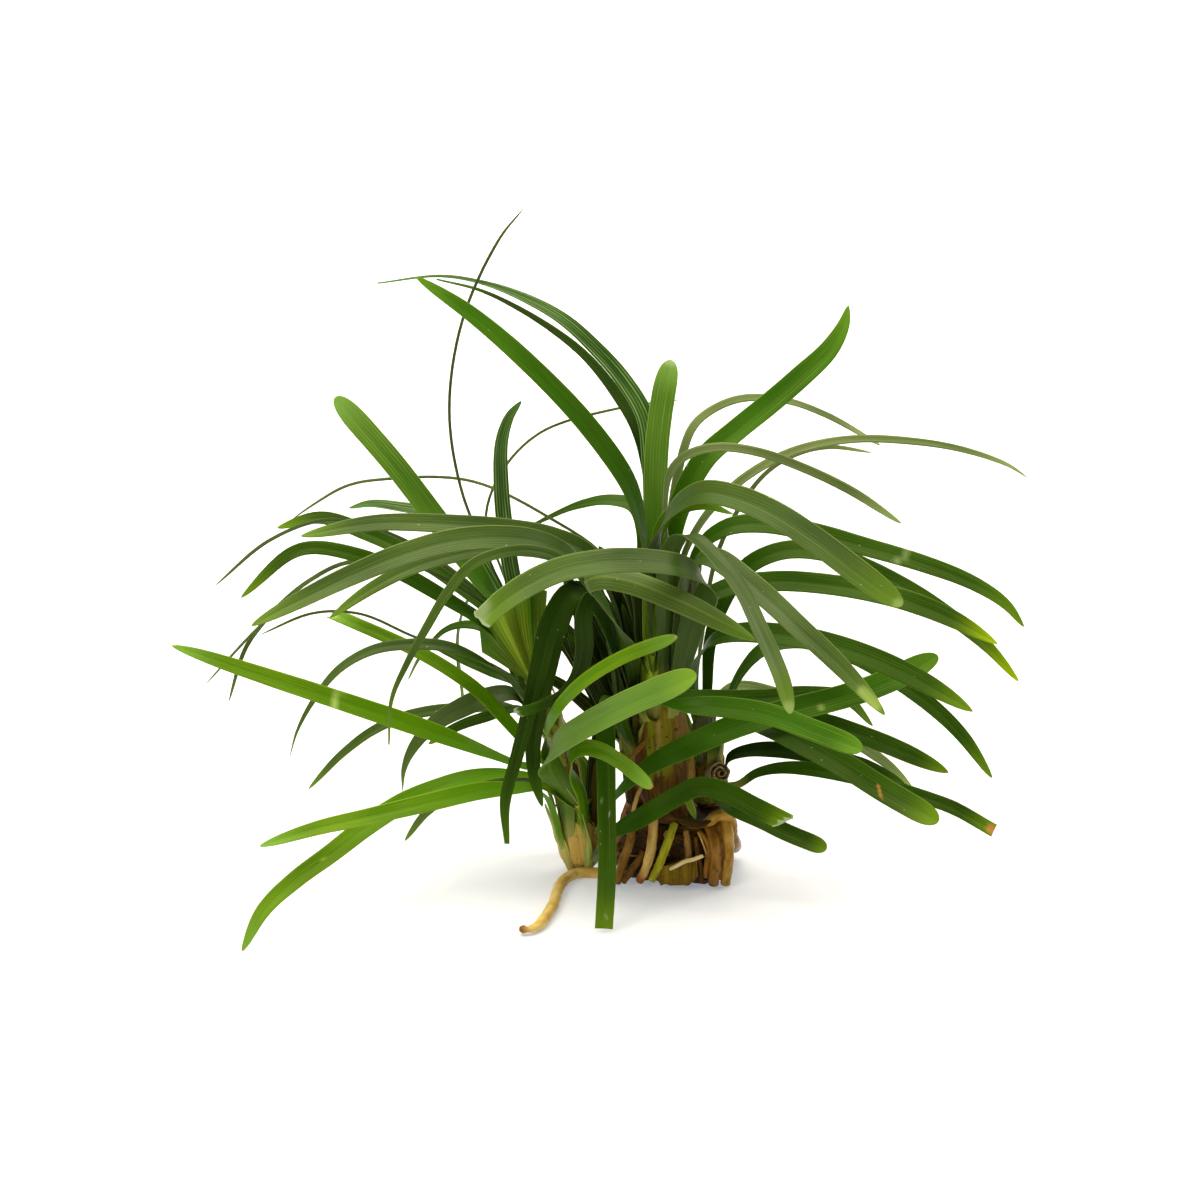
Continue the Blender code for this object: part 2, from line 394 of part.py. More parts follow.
def material(name, colour, roughness):
    """A plain surface of one colour."""
    made = bpy.data.materials.new(name)
    made.use_nodes = True
    surface = made.node_tree.nodes["Principled BSDF"]
    surface.inputs["Base Color"].default_value = colour
    surface.inputs["Roughness"].default_value = roughness
    surface.inputs["Metallic"].default_value = 0.0
    return made


def sighted(across, up, depth):
    """The point seen that far across and up from the front, that far behind the block's middle."""
    ray = RIGHT * across + UPWARD * up - EYE
    return EYE + ray * ((depth - EYE.y) / ray.y)


def sighted_on_ground(across, up, height):
    """The point seen that far across and up from the front, that far above the ground."""
    ray = RIGHT * across + UPWARD * up - EYE
    return EYE + ray * ((height - EYE.z) / ray.z)


def smoothstep(low, high, value):
    share = min(max((value - low) / (high - low), 0.0), 1.0)
    return share * share * (3 - 2 * share)


def smooth_path(points, steps):
    """Evenly spaced points on a smooth curve through the given ones (a Catmull-Rom spline)."""
    ends = [points[0] * 2 - points[1]] + points + [points[-1] * 2 - points[-2]]
    dense = [points[0]]
    for before, start, stop, after in zip(ends, ends[1:], ends[2:], ends[3:]):
        pairs = ((before, start), (start, stop), (stop, after))
        first, second, third = (max((b - a).length ** 0.5, SHORTEST_SPAN) for a, b in pairs)
        leave = ((start - before) / first - (stop - before) / (first + second)) * second + (stop - start)
        reach = ((after - stop) / third - (after - start) / (second + third)) * second + (stop - start)
        for step in range(1, CURVE_STEPS + 1):
            t = step / CURVE_STEPS
            dense.append(start * (2 * t**3 - 3 * t**2 + 1) + leave * (t**3 - 2 * t**2 + t)
                         + stop * (3 * t**2 - 2 * t**3) + reach * (t**3 - t**2))
    lengths = [0.0]
    for a, b in zip(dense, dense[1:]):
        lengths.append(lengths[-1] + (b - a).length)
    even, at = [], 0
    for step in range(steps + 1):
        wanted = lengths[-1] * step / steps
        while at < len(dense) - 2 and lengths[at + 1] < wanted:
            at += 1
        share = (wanted - lengths[at]) / (lengths[at + 1] - lengths[at])
        even.append(dense[at].lerp(dense[at + 1], min(max(share, 0.0), 1.0)))
    return even


def path_directions(path):
    """The direction of travel at each point of a path."""
    last = len(path) - 1
    return [(path[min(i + 1, last)] - path[max(i - 1, 0)]).normalized() for i in range(last + 1)]


def square_to(vector, direction):
    """The part of a vector that is square to a direction."""
    return (vector - direction * vector.dot(direction)).normalized()


def blade_frames(path, first_face, facing):
    """For each point of a midrib, its point, the way its upper face looks, and the way across the blade.

    The face is carried along the path with no twist of its own, and then leans over to the wanted facing.
    """
    directions = path_directions(path)
    faces = [square_to(first_face, directions[0])]
    for a, b in zip(directions, directions[1:]):
        faces.append(square_to(a.rotation_difference(b) @ faces[-1], b))
    twist = 0.0
    middle = len(path) // 2
    if facing is not None:
        wanted = square_to(facing, directions[middle])
        across = directions[middle].cross(faces[middle])
        twist = math.atan2(wanted.dot(across), wanted.dot(faces[middle]))
        twist = min(max(twist, -MOST_TWIST), MOST_TWIST)
    frames = []
    for i, (point, direction, face) in enumerate(zip(path, directions, faces)):
        turn = twist * smoothstep(TWIST_START, TWIST_END, i / (len(path) - 1))
        face = Quaternion(direction, turn) @ face
        frames.append((point, face, direction.cross(face)))
    return frames


def blade_width(share, widest, tip):
    """The width of a blade at a share of its length from the base."""
    width = widest * (BASE_SHARE + (1 - BASE_SHARE) * smoothstep(0.0, WIDEST_FROM, share))
    if tip not in TIPS:
        return width * (1 - CUT_NARROWING * share)
    start, narrowing, narrowing_power, end_power, bluntness = TIPS[tip]
    reach = max((share - start) / (1 - start), 0.0)
    return width * (1 - narrowing * reach ** narrowing_power) * (1 - reach ** end_power) ** bluntness


def blade_mesh(name, frames, widest, tip, stations):
    """A closed, slightly folded strip lofted along the frames."""
    bm = bmesh.new()
    rings = []
    for station in stations:
        point, face, across = frames[station]
        share = station / PATH_STEPS
        width = blade_width(share, widest, tip)
        if share == 1 and tip in TIPS:
            rings.append([bm.verts.new(point * MM)])
            continue
        rise = face * (LEAF_FOLD * width)
        fullness = min(width / widest / FULL_THICKNESS_FROM, 1)
        half = LEAF_THICKNESS / 2 * (1 - TIP_THINNING * (1 - fullness))
        skew = -BREAK_SLANT * width if share == 1 and tip == "broken" else 0.0
        slant = (frames[station][0] - frames[station - 1][0]).normalized() * skew
        corners = (point - across * (width / 2) + rise, point + face * half,
                   point + across * (width / 2) + rise + slant, point - face * half)
        rings.append([bm.verts.new(corner * MM) for corner in corners])
    for ring, following in zip(rings, rings[1:]):
        for i in range(4):
            j = (i + 1) % 4
            if len(following) == 1:
                bm.faces.new((ring[i], ring[j], following[0]))
            else:
                bm.faces.new((ring[i], ring[j], following[j], following[i]))
    bm.faces.new(reversed(rings[0]))
    if len(rings[-1]) == 4:
        bm.faces.new(rings[-1])
    bmesh.ops.triangulate(bm, faces=bm.faces)
    bmesh.ops.recalc_face_normals(bm, faces=bm.faces)
    mesh = bpy.data.meshes.new(name)
    bm.to_mesh(mesh)
    bm.free()
    return mesh


def crown_path(spine):
    """The crown's smoothed middle line, with its radius at each point."""
    path = smooth_path([Vector(stop[:3]) for stop in spine], CROWN_STEPS)
    heights = [stop[2] for stop in spine]
    radii = [stop[3] for stop in spine]
    return path, [numpy.interp(point.z, heights, radii) for point in path]


def crown_at(spine, height):
    """The middle of a crown at a height above its top (below when negative), its direction and its radius."""
    path, radii = crown_path(spine)
    growing = (path[-1] - path[-2]).normalized()
    point = path[-1] + growing * height
    if height >= 0:
        return point, growing, radii[-1]
    index = min(range(len(path)), key=lambda i: (path[i] - point).length)
    near = path[index]
    growing = path_directions(path)[index]
    return near + growing * (point - near).dot(growing), growing, radii[index]


def place_round(crown, height, degrees):
    """The middle of a crown at a height, the way out from it at an angle from above, and its radius."""
    middle, growing, radius = crown_at(CROWNS[crown][0], height)
    angle = math.radians(degrees)
    return middle, square_to(Vector((math.cos(angle), math.sin(angle), 0)), growing), radius


def ring_place(crown, ring, degrees):
    """Where a leaf stands on its crown, and the way out from the crown there."""
    beyond, height = RINGS[ring]
    middle, outward, radius = place_round(crown, height, degrees)
    return middle + outward * max(radius + beyond, LEAST_STAND), outward


def leaf_path(base, route):
    """The midrib from its base through the points of its route."""
    resting = GROUND_GAP + LEAF_THICKNESS
    stops = [sighted(*stop) if len(stop) == 3 else sighted_on_ground(*stop, resting) for stop in route]
    return smooth_path([base] + stops, PATH_STEPS)


def make_leaf(name, crown, widest, tip, facing, place, route, surface, folder):
    """One leaf that stands on its crown's ring."""
    base, outward = ring_place(crown, *place)
    frames = blade_frames(leaf_path(base, route), -outward, FACINGS[facing])
    leaf = bpy.data.objects.new(name, blade_mesh(name, frames, widest, tip, STATIONS))
    leaf.data.materials.append(surface)
    folder.objects.link(leaf)
    return leaf


def tube(name, points, radii, sides, folder):
    """A solid round bar along the points, with its own radius at each, as a mesh object."""
    curve = bpy.data.curves.new(name, "CURVE")
    curve.dimensions = "3D"
    curve.bevel_depth = MM
    curve.bevel_resolution = max((sides - 4) // 2, 0)
    curve.use_fill_caps = True
    spline = curve.splines.new("POLY")
    spline.points.add(len(points) - 1)
    for point, place, radius in zip(spline.points, points, radii):
        point.co = (*(place * MM), 1)
        point.radius = radius
    rod = bpy.data.objects.new("Centre line", curve)
    folder.objects.link(rod)
    bpy.context.view_layer.update()
    evaluated = rod.evaluated_get(bpy.context.evaluated_depsgraph_get())
    mesh = bpy.data.meshes.new_from_object(evaluated)
    solid = bpy.data.objects.new(name, mesh)
    solid.matrix_world = rod.matrix_world
    bpy.data.objects.remove(rod, do_unlink=True)
    folder.objects.link(solid)
    bm = bmesh.new()
    bm.from_mesh(mesh)
    bmesh.ops.remove_doubles(bm, verts=bm.verts, dist=WELD)
    bmesh.ops.triangulate(bm, faces=bm.faces)
    bmesh.ops.recalc_face_normals(bm, faces=bm.faces)
    bm.to_mesh(mesh)
    bm.free()
    return solid


def combine(solid, other, operation):
    """Joins or cuts a solid with another, which is then removed."""
    modifier = solid.modifiers.new(operation.title(), "BOOLEAN")
    modifier.operation = operation
    modifier.object = other
    bpy.context.view_layer.update()
    evaluated = solid.evaluated_get(bpy.context.evaluated_depsgraph_get())
    mesh = bpy.data.meshes.new_from_object(evaluated)
    solid.modifiers.remove(modifier)
    solid.data = mesh
    bpy.data.objects.remove(other, do_unlink=True)
    return solid


def make_crown(name, folder, cutters):
    """A stem of wrapped sheaths, with the small leaves that are one with it."""
    spine, colour = CROWNS[name]
    path, radii = crown_path(spine)
    crown = tube(f"{name}_crown", path, radii, CROWN_SIDES, folder)
    for widest, tip, facing, (height, degrees), route in FUSED_LEAVES[name]:
        middle, outward, radius = place_round(name, height, degrees)
        base = middle + outward * (radius * FUSED_INSIDE)
        frames = blade_frames(leaf_path(base, route), -outward, FACINGS[facing])
        mesh = blade_mesh("Small leaf", frames, widest, tip, SMALL_STATIONS)
        blade = bpy.data.objects.new("Small leaf", mesh)
        cutters.objects.link(blade)
        combine(crown, blade, "UNION")
    crown.data.materials.clear()
    crown.data.materials.append(material(f"{name} sheath", colour, 0.6))
    return crown


def roughened_block(folder):
    """The soil block: a box with rounded corners and a lumpy skin, flat underneath."""
    bm = bmesh.new()
    bmesh.ops.create_cube(bm, size=2)
    bmesh.ops.subdivide_edges(bm, edges=bm.edges, cuts=BLOCK_CUTS, use_grid_fill=True)
    half = Vector((BLOCK_WIDTH / 2, BLOCK_DEPTH / 2, BLOCK_HEIGHT / 2))
    for vertex in bm.verts:
        corner = vertex.co.copy()
        roundness = sum(abs(side) ** BLOCK_SQUARENESS for side in corner) ** (1 / BLOCK_SQUARENESS)
        place = Vector(corner[i] / roundness * half[i] for i in range(3))
        lump = noise.noise(place * BLOCK_GRAIN) * BLOCK_ROUGHNESS
        place += place.normalized() * lump
        place.z += half.z
        vertex.co = place * MM
    bmesh.ops.recalc_face_normals(bm, faces=bm.faces)
    mesh = bpy.data.meshes.new("root_plug")
    bm.to_mesh(mesh)
    bm.free()
    block = bpy.data.objects.new("root_plug", mesh)
    block.rotation_euler.z = BLOCK_TURN
    folder.objects.link(block)
    return block


def make_root_plug(folder, cutters):
    """The soil block with its folded roots, cut off flat at the ground and at the top."""
    plug = roughened_block(folder)
    for diameter, stops in BLOCK_ROOTS:
        path = smooth_path([Vector(stop) for stop in stops], FOLDED_STEPS)
        bulges = [math.sin(math.pi * i / FOLDED_STEPS) for i in range(FOLDED_STEPS + 1)]
        radii = [diameter / 2 * (FOLDED_END_SHARE + (1 - FOLDED_END_SHARE) * bulge) for bulge in bulges]
        combine(plug, tube("Folded root", path, radii, FOLDED_SIDES, cutters), "UNION")
    for middle in (BLOCK_SUNK - SLAB_THICKNESS / 2, BLOCK_HEIGHT + SLAB_THICKNESS / 2):
        bpy.ops.mesh.primitive_cube_add(size=1, location=(0, 0, middle * MM))
        slab = bpy.context.object
        slab.scale = (SLAB * MM, SLAB * MM, SLAB_THICKNESS * MM)
        combine(plug, slab, "DIFFERENCE")
    plug.location.z = -BLOCK_SUNK * MM
    plug.data.materials.clear()
    plug.data.materials.append(material("Soil and roots", SOIL_BROWN, 0.95))
    return plug


def make_free_root(folder):
    """The thick root that lies on the ground."""
    radius = FREE_ROOT_DIAMETER / 2
    stops = [sighted_on_ground(across, up, radius + FREE_ROOT_CLEARANCE) for across, up in FREE_ROOT_ROUTE]
    path = smooth_path(stops, FREE_ROOT_STEPS)
    shares = [i / FREE_ROOT_STEPS for i in range(FREE_ROOT_STEPS + 1)]
    thinned = [(1 - FREE_ROOT_TIP_SHARE) * smoothstep(FREE_ROOT_TIP_FROM, 1.0, share) for share in shares]
    radii = [radius * (1 - thin) for thin in thinned]
    root = tube("free_root", path, radii, FREE_ROOT_SIDES, folder)
    root.data.materials.append(material("Root", ROOT_CREAM, 0.7))
    return root


def build():
    clear_scene()
    parts = collection("Dwarf mondo grass")
    cutters = collection("Cutters")
    leaf_surface = material("Leaf", LEAF_GREEN, 0.4)
    young_surface = material("Young leaf", YOUNG_GREEN, 0.4)
    make_root_plug(parts, cutters)
    make_free_root(parts)
    for crown in CROWNS:
        make_crown(crown, parts, cutters)
        surface = young_surface if crown == "left" else leaf_surface
        for number, (widest, tip, facing, place, route) in enumerate(LEAVES[crown], 1):
            name = f"{crown}_leaf_{number:02d}"
            make_leaf(name, crown, widest, tip, facing, place, route, surface, parts)


build()
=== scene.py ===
# %% [markdown]
# # Dwarf mondo grass, lifted out of its pot
#
# This notebook dresses a small clump of dwarf mondo grass, about 15 cm across. The plain solids of the
# plant are already there: one for each leaf, one for each shoot, one for the block of soil. They have the
# right size and place, but they look like folded paper. Each step below takes one kind of plant tissue and
# grows its real surface on the same line as its solid: ribs, thin margins, papery sheaths, roots and soil.
#
# The first cell brings in the solids. The finished plant has to fill the same box.

# %% Bringing in the solids
import math
import random

import bpy
import numpy as np
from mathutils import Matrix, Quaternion, Vector, noise


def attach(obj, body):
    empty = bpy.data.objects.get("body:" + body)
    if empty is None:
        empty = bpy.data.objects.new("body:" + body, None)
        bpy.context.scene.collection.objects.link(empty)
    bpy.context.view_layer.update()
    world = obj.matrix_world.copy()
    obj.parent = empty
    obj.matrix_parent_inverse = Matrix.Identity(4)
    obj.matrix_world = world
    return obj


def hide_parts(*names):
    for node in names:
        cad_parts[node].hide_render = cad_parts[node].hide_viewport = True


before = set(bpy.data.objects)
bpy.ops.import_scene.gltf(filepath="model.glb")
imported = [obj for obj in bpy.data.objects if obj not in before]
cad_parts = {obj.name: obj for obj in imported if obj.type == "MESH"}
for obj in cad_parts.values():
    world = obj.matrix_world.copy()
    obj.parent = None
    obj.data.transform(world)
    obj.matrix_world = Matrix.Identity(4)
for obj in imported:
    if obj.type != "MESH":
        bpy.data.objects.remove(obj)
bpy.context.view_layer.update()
MM = 0.001

# %% [markdown]
# ## The camera, and a way of pointing at things
#
# The picture was taken from slightly above, with a long lens, so that the leaves near the lens are hardly
# bigger than the ones behind. The camera is made first because the leaves were measured from it: how many
# millimetres across and up from the middle of the soil block a point is seen, and how far behind it the
# point is. The two functions below turn such a measurement into a point of the plant.

# %% The camera
SIGHT_TILT = math.radians(20)       # the camera looks down by this angle
SIGHT_RANGE = 750.0                 # mm from the camera to the point it looks at
SIGHT_ACROSS, SIGHT_UP = -13.8, 48.7
LENS = 123.75                       # mm, on a sensor 36 mm wide

RIGHT = Vector((1, 0, 0))
UPWARD = Vector((0, math.sin(SIGHT_TILT), math.cos(SIGHT_TILT)))
TOWARD = Vector((0, -math.cos(SIGHT_TILT), math.sin(SIGHT_TILT)))
EYE = RIGHT * SIGHT_ACROSS + UPWARD * SIGHT_UP + TOWARD * SIGHT_RANGE

camera = bpy.data.objects.new("Camera", bpy.data.cameras.new("Camera"))
camera.data.lens = LENS
camera.data.sensor_width = 36.0
camera.data.clip_start, camera.data.clip_end = 0.01, 20.0
camera.location = EYE * MM
camera.rotation_euler = (math.radians(90) - SIGHT_TILT, 0, 0)
bpy.context.scene.collection.objects.link(camera)
bpy.context.scene.camera = camera
print("camera at", [round(c, 3) for c in camera.location], "metres")


# %% Pointing at things
def sighted(across, up, depth):
    """The point seen that far across and up from the front, that far behind the block's middle."""
    ray = RIGHT * across + UPWARD * up - EYE
    return EYE + ray * ((depth - EYE.y) / ray.y)


def sighted_on_ground(across, up, height):
    """The point seen that far across and up from the front, that far above the ground."""
    ray = RIGHT * across + UPWARD * up - EYE
    return EYE + ray * ((height - EYE.z) / ray.z)


def seen_at(point):
    """How far across and up from the front a point is seen."""
    ray = point - EYE
    on_sheet = EYE + ray * (-EYE.dot(TOWARD) / ray.dot(TOWARD))
    return on_sheet.dot(RIGHT), on_sheet.dot(UPWARD)


print("the block's middle is seen at", [round(c, 3) for c in seen_at(Vector((0, 0, 0)))])

# %% [markdown]
# ## Studio
#
# The plant stands on a plain pale sheet. A big softbox hangs right above it, so that the arched leaves are
# bright on top and dark below, and two small ones fill in from the front left and the back right. The
# surroundings are dim: a leaf seen from the front then mirrors little and stays a deep, clean green. The
# sheet also glows a little, as a light table does, so that it is white with hardly a shadow. The standard
# view keeps the greens as picked.

# %% Floor, lights and surroundings
FLOOR_RADIUS = 6.0                  # metres
SOFTBOXES = [
    # name, place in metres, width in metres, watts
    ("Overhead softbox", (-0.1, 0.2, 1.35), 1.7, 56.0),
    ("Front left softbox", (-0.8, -0.9, 0.8), 0.5, 5.5),
    ("Right rim softbox", (0.95, 0.5, 0.7), 0.5, 5.0),
]
WARM_WHITE = (1.0, 0.96, 0.83)
SHEET_GLOW = 0.3                    # the sheet is lit a little from below, so that shadows stay pale
AIM = Vector((-0.01, -0.005, 0.045))


def hex_colour(code):
    """An sRGB hex colour as the linear RGBA that shaders use."""
    channels = [int(code[i:i + 2], 16) / 255 for i in (1, 3, 5)]
    return (*(c / 12.92 if c <= 0.04045 else ((c + 0.055) / 1.055) ** 2.4 for c in channels), 1.0)


def fill(socket, value):
    """Puts a number, a hex colour or another node's output into a socket. None leaves it as it is."""
    if isinstance(value, bpy.types.NodeSocket):
        socket.id_data.links.new(value, socket)
    elif value is not None:
        socket.default_value = hex_colour(value) if isinstance(value, str) else value


def new_finish(name):
    """A new material, its Principled shader, and the function that adds a node to it."""
    made = bpy.data.materials.new(name)
    made.use_nodes = True

    def add(kind, *values, out=0, **settings):
        """Adds a node and gives one of its outputs, by number or name, or all of them when out is None.

        Settings are the node's own properties. The values fill the sockets that it then shows, from the top.
        """
        node = made.node_tree.nodes.new("ShaderNode" + kind)
        for setting, value in settings.items():
            setattr(node, setting, value)
        for socket, value in zip([socket for socket in node.inputs if socket.enabled], values):
            fill(socket, value)
        shown = [socket for socket in node.outputs if socket.enabled]
        if out is None:
            return shown
        return node.outputs[out] if isinstance(out, str) else shown[out]

    return made, made.node_tree.nodes["Principled BSDF"], add


def set_looks(shader, looks):
    """Fills a shader's sockets by name."""
    for name, value in looks.items():
        fill(shader.inputs[name], value)


def layered(add, colour, layers):
    """A colour with others laid over it in turn. A layer is how much of it shows, and its colour."""
    for amount, layer in layers:
        colour = add("Mix", amount, colour, layer, data_type="RGBA")
    return colour


paper, paper_shader, add = new_finish("Opal acrylic sheet, matte")
fibres = add("TexNoise", None, 900.0, 3.0)
set_looks(paper_shader, {
    "Base Color": layered(add, "#cacace", [(fibres, "#d2d2d6")]), "Roughness": 0.9,
    "Specular IOR Level": 0.1, "Emission Color": "#eef4ff", "Emission Strength": SHEET_GLOW})

bpy.ops.mesh.primitive_circle_add(vertices=96, radius=FLOOR_RADIUS, fill_type="NGON", location=(0, 0, 0))
floor = bpy.context.object
floor.name = "Floor"
floor.data.materials.append(paper)

world = bpy.data.worlds.new("White surroundings")
world.use_nodes = True
set_looks(world.node_tree.nodes["Background"], {"Color": "#fff2cc", "Strength": 0.25})
bpy.context.scene.world = world
bpy.context.scene.view_settings.view_transform = "Standard"

for name, place, width, watts in SOFTBOXES:
    lamp = bpy.data.lights.new(name, "AREA")
    lamp.size = width
    lamp.energy = watts
    lamp.color = WARM_WHITE
    box = bpy.data.objects.new(name, lamp)
    box.location = place
    box.rotation_euler = (AIM - Vector(place)).to_track_quat("-Z", "Y").to_euler()
    bpy.context.scene.collection.objects.link(box)
print("floor,", len(SOFTBOXES), "softboxes and white surroundings")

# %% [markdown]
# ## Living leaf tissue
#
# A leaf of this plant is a stiff, leathery strap. Under its skin run seven or nine straight veins, about
# half a millimetre apart, which show as fine pale lines. The upper skin is deep green and smooth. The lower
# skin is waxy, greyer, and pale between the veins. The margins are thin and paler, with a painted highlight
# where they catch the light; the tip is yellower, and where the blade leaves its sheath it is almost white.
# Some leaves have a whitish bloom of wax, and some show their veins strongly. Two finishes are the same
# leaf with light painted in: the shade finish is painted darker, for leaves in the shade of the clump, and
# the backlit finish lighter, for leaves with light shining through them. So each kind is a finish of its
# own, made by one function from six colours.
#
# Colour is painted with numbers stored on the mesh: how far across and along the blade a point lies, both
# in millimetres and as a share, and which side it is on. They belong to the leaf, so the pattern stays put
# from any side. Each leaf also stores its own seed, so that no two have the same streaks. A finish is then
# a stack of layers: how much of each shows at a point, and its colour.

# %% A finish for leaves
VEIN_SPACING = 0.52                 # mm between two veins of a grown leaf
STREAK_LENGTH = 16.0                # mm, the length of a streak of paler tissue
CLOUD = (9.0, 22.0)                 # mm, width and length of a patch of lighter green
SPECK_SPACING = 2.6                 # mm between the pale specks on old leaves
SKIN_CELLS = 0.22                   # mm; real skin cells are 0.03 mm, drawn coarser so that they show
FRESH_TISSUE_IOR = 1.42             # water and cell walls
SPECK_COLOUR = "#b9c79a"
MARK_COLOURS = ("#a9c23c", "#a9783a", "#c9d3b4")    # yellow, tan and whitish
SMOOTH = {"interpolation_type": "SMOOTHSTEP"}       # a map range that starts and ends softly


def skin_place(add, wide, tall, layer=1.0):
    """The place on a skin, in steps so many millimetres wide and tall. Layer shuffles it by the seed."""
    place = add("Attribute", attribute_name="blade_mm", out="Vector")
    return add("VectorMath", place, (1 / wide, 1 / tall, layer), operation="MULTIPLY")


def grain(add, wide, tall, detail, layer=1.0):
    """Noise whose lumps are so many millimetres wide and tall."""
    return add("TexNoise", skin_place(add, wide, tall, layer), 1.0, detail)


def stored(add, title):
    """The three numbers that a skin stores under a title."""
    return add("SeparateXYZ", add("Attribute", attribute_name=title, out="Vector"), out=None)


def leaf_finish(name, deep, lit, vein, under, tip, base, vein_strength=0.34, roughness=0.42, specks=0.35,
                tip_from=0.86, base_to=0.1, sheen=0.2, gleam="#d9dc8c", low=None):
    """Leaf tissue: deep and lit are the upper skin's two greens, under the lower skin's, the rest details.

    Low, where it is given, is a richer green that comes in over the lower half of the leaf. Gleam tints what
    the skin mirrors: greenish on a living leaf, because light also comes back from just under the skin.
    """
    made, shader, add = new_finish(name)
    across_mm, *_ = stored(add, "blade_mm")
    across, along, below = stored(add, "blade_share")
    marks = stored(add, "blade_marks")
    streaks = grain(add, VEIN_SPACING * 1.5, STREAK_LENGTH, 2.0, layer=7.0)
    clouds = grain(add, *CLOUD, 1.0)
    cells = grain(add, SKIN_CELLS, SKIN_CELLS * 3, 1.0)

    to_vein = add("Math", across_mm, VEIN_SPACING / 2, operation="PINGPONG")
    on_vein = add("MapRange", to_vein, 0.03, VEIN_SPACING * 0.36, 1.0, 0.0, **SMOOTH)
    vein_shows = add("MapRange", streaks, 0.3, 0.7, 0.0, vein_strength, **SMOOTH)
    to_midrib = add("Math", across_mm, operation="ABSOLUTE")
    upper = layered(add, deep, [
        (add("MapRange", clouds, 0.32, 0.7, **SMOOTH), lit),
        (add("MapRange", streaks, 0.45, 0.75, 0.0, 0.35, **SMOOTH), lit),
        (add("Math", cells, 0.16, operation="MULTIPLY"), under),
        (add("Math", on_vein, vein_shows, operation="MULTIPLY"), vein),
        (add("MapRange", to_midrib, 0.04, 0.2, 0.3, 0.0, **SMOOTH), deep)])
    lower = layered(add, lit, [
        (add("MapRange", to_vein, VEIN_SPACING * 0.1, VEIN_SPACING * 0.42, 0.0, 0.75, **SMOOTH), under),
        (add("MapRange", to_midrib, 0.04, 0.2, 0.6, 0.0, **SMOOTH), vein)])
    skin = layered(add, upper, [(below, lower)])
    if low is not None:
        lower_half = add("MapRange", along, 0.3, 0.85, 1.0, 0.0, **SMOOTH)
        patchy = add("Math", streaks, 0.8, 0.4, operation="MULTIPLY_ADD")
        skin = layered(add, skin, [(add("Math", lower_half, patchy, operation="MULTIPLY"), low)])

    speck_place = skin_place(add, SPECK_SPACING * 0.6, SPECK_SPACING, layer=3.0)
    distance, tint, _ = add("TexVoronoi", speck_place, 1.0, out=None)
    dot = add("MapRange", distance, 0.03, 0.085, 1.0, 0.0, **SMOOTH)
    chosen = add("MapRange", add("SeparateColor", tint), 0.6, 0.62, 0.0, specks, **SMOOTH)
    skin = layered(add, skin, [
        # the paler margins: partly the margin's own pale tissue, partly a painted highlight where the thin
        # edge catches the light
        (add("MapRange", add("Math", across, operation="ABSOLUTE"), 0.9, 0.985, 0.0, 0.4, **SMOOTH), vein),
        (add("MapRange", along, tip_from, 1.02, **SMOOTH), tip),
        (add("MapRange", along, base_to * 0.2, base_to, 0.85, 0.0, **SMOOTH), base),
        (add("Math", dot, chosen, operation="MULTIPLY"), SPECK_COLOUR), *zip(marks, MARK_COLOURS)])

    gloss = add("Math", cells, 0.18, roughness - 0.09, operation="MULTIPLY_ADD")
    cell_relief = add("Math", cells, 0.5, operation="MULTIPLY")
    relief = add("Math", on_vein, 0.6, cell_relief, operation="MULTIPLY_ADD")
    set_looks(shader, {
        "Base Color": skin, "Roughness": gloss, "Normal": add("Bump", 0.3, 0.03 * MM, None, relief),
        "IOR": FRESH_TISSUE_IOR, "Specular IOR Level": sheen, "Specular Tint": gleam})
    return made


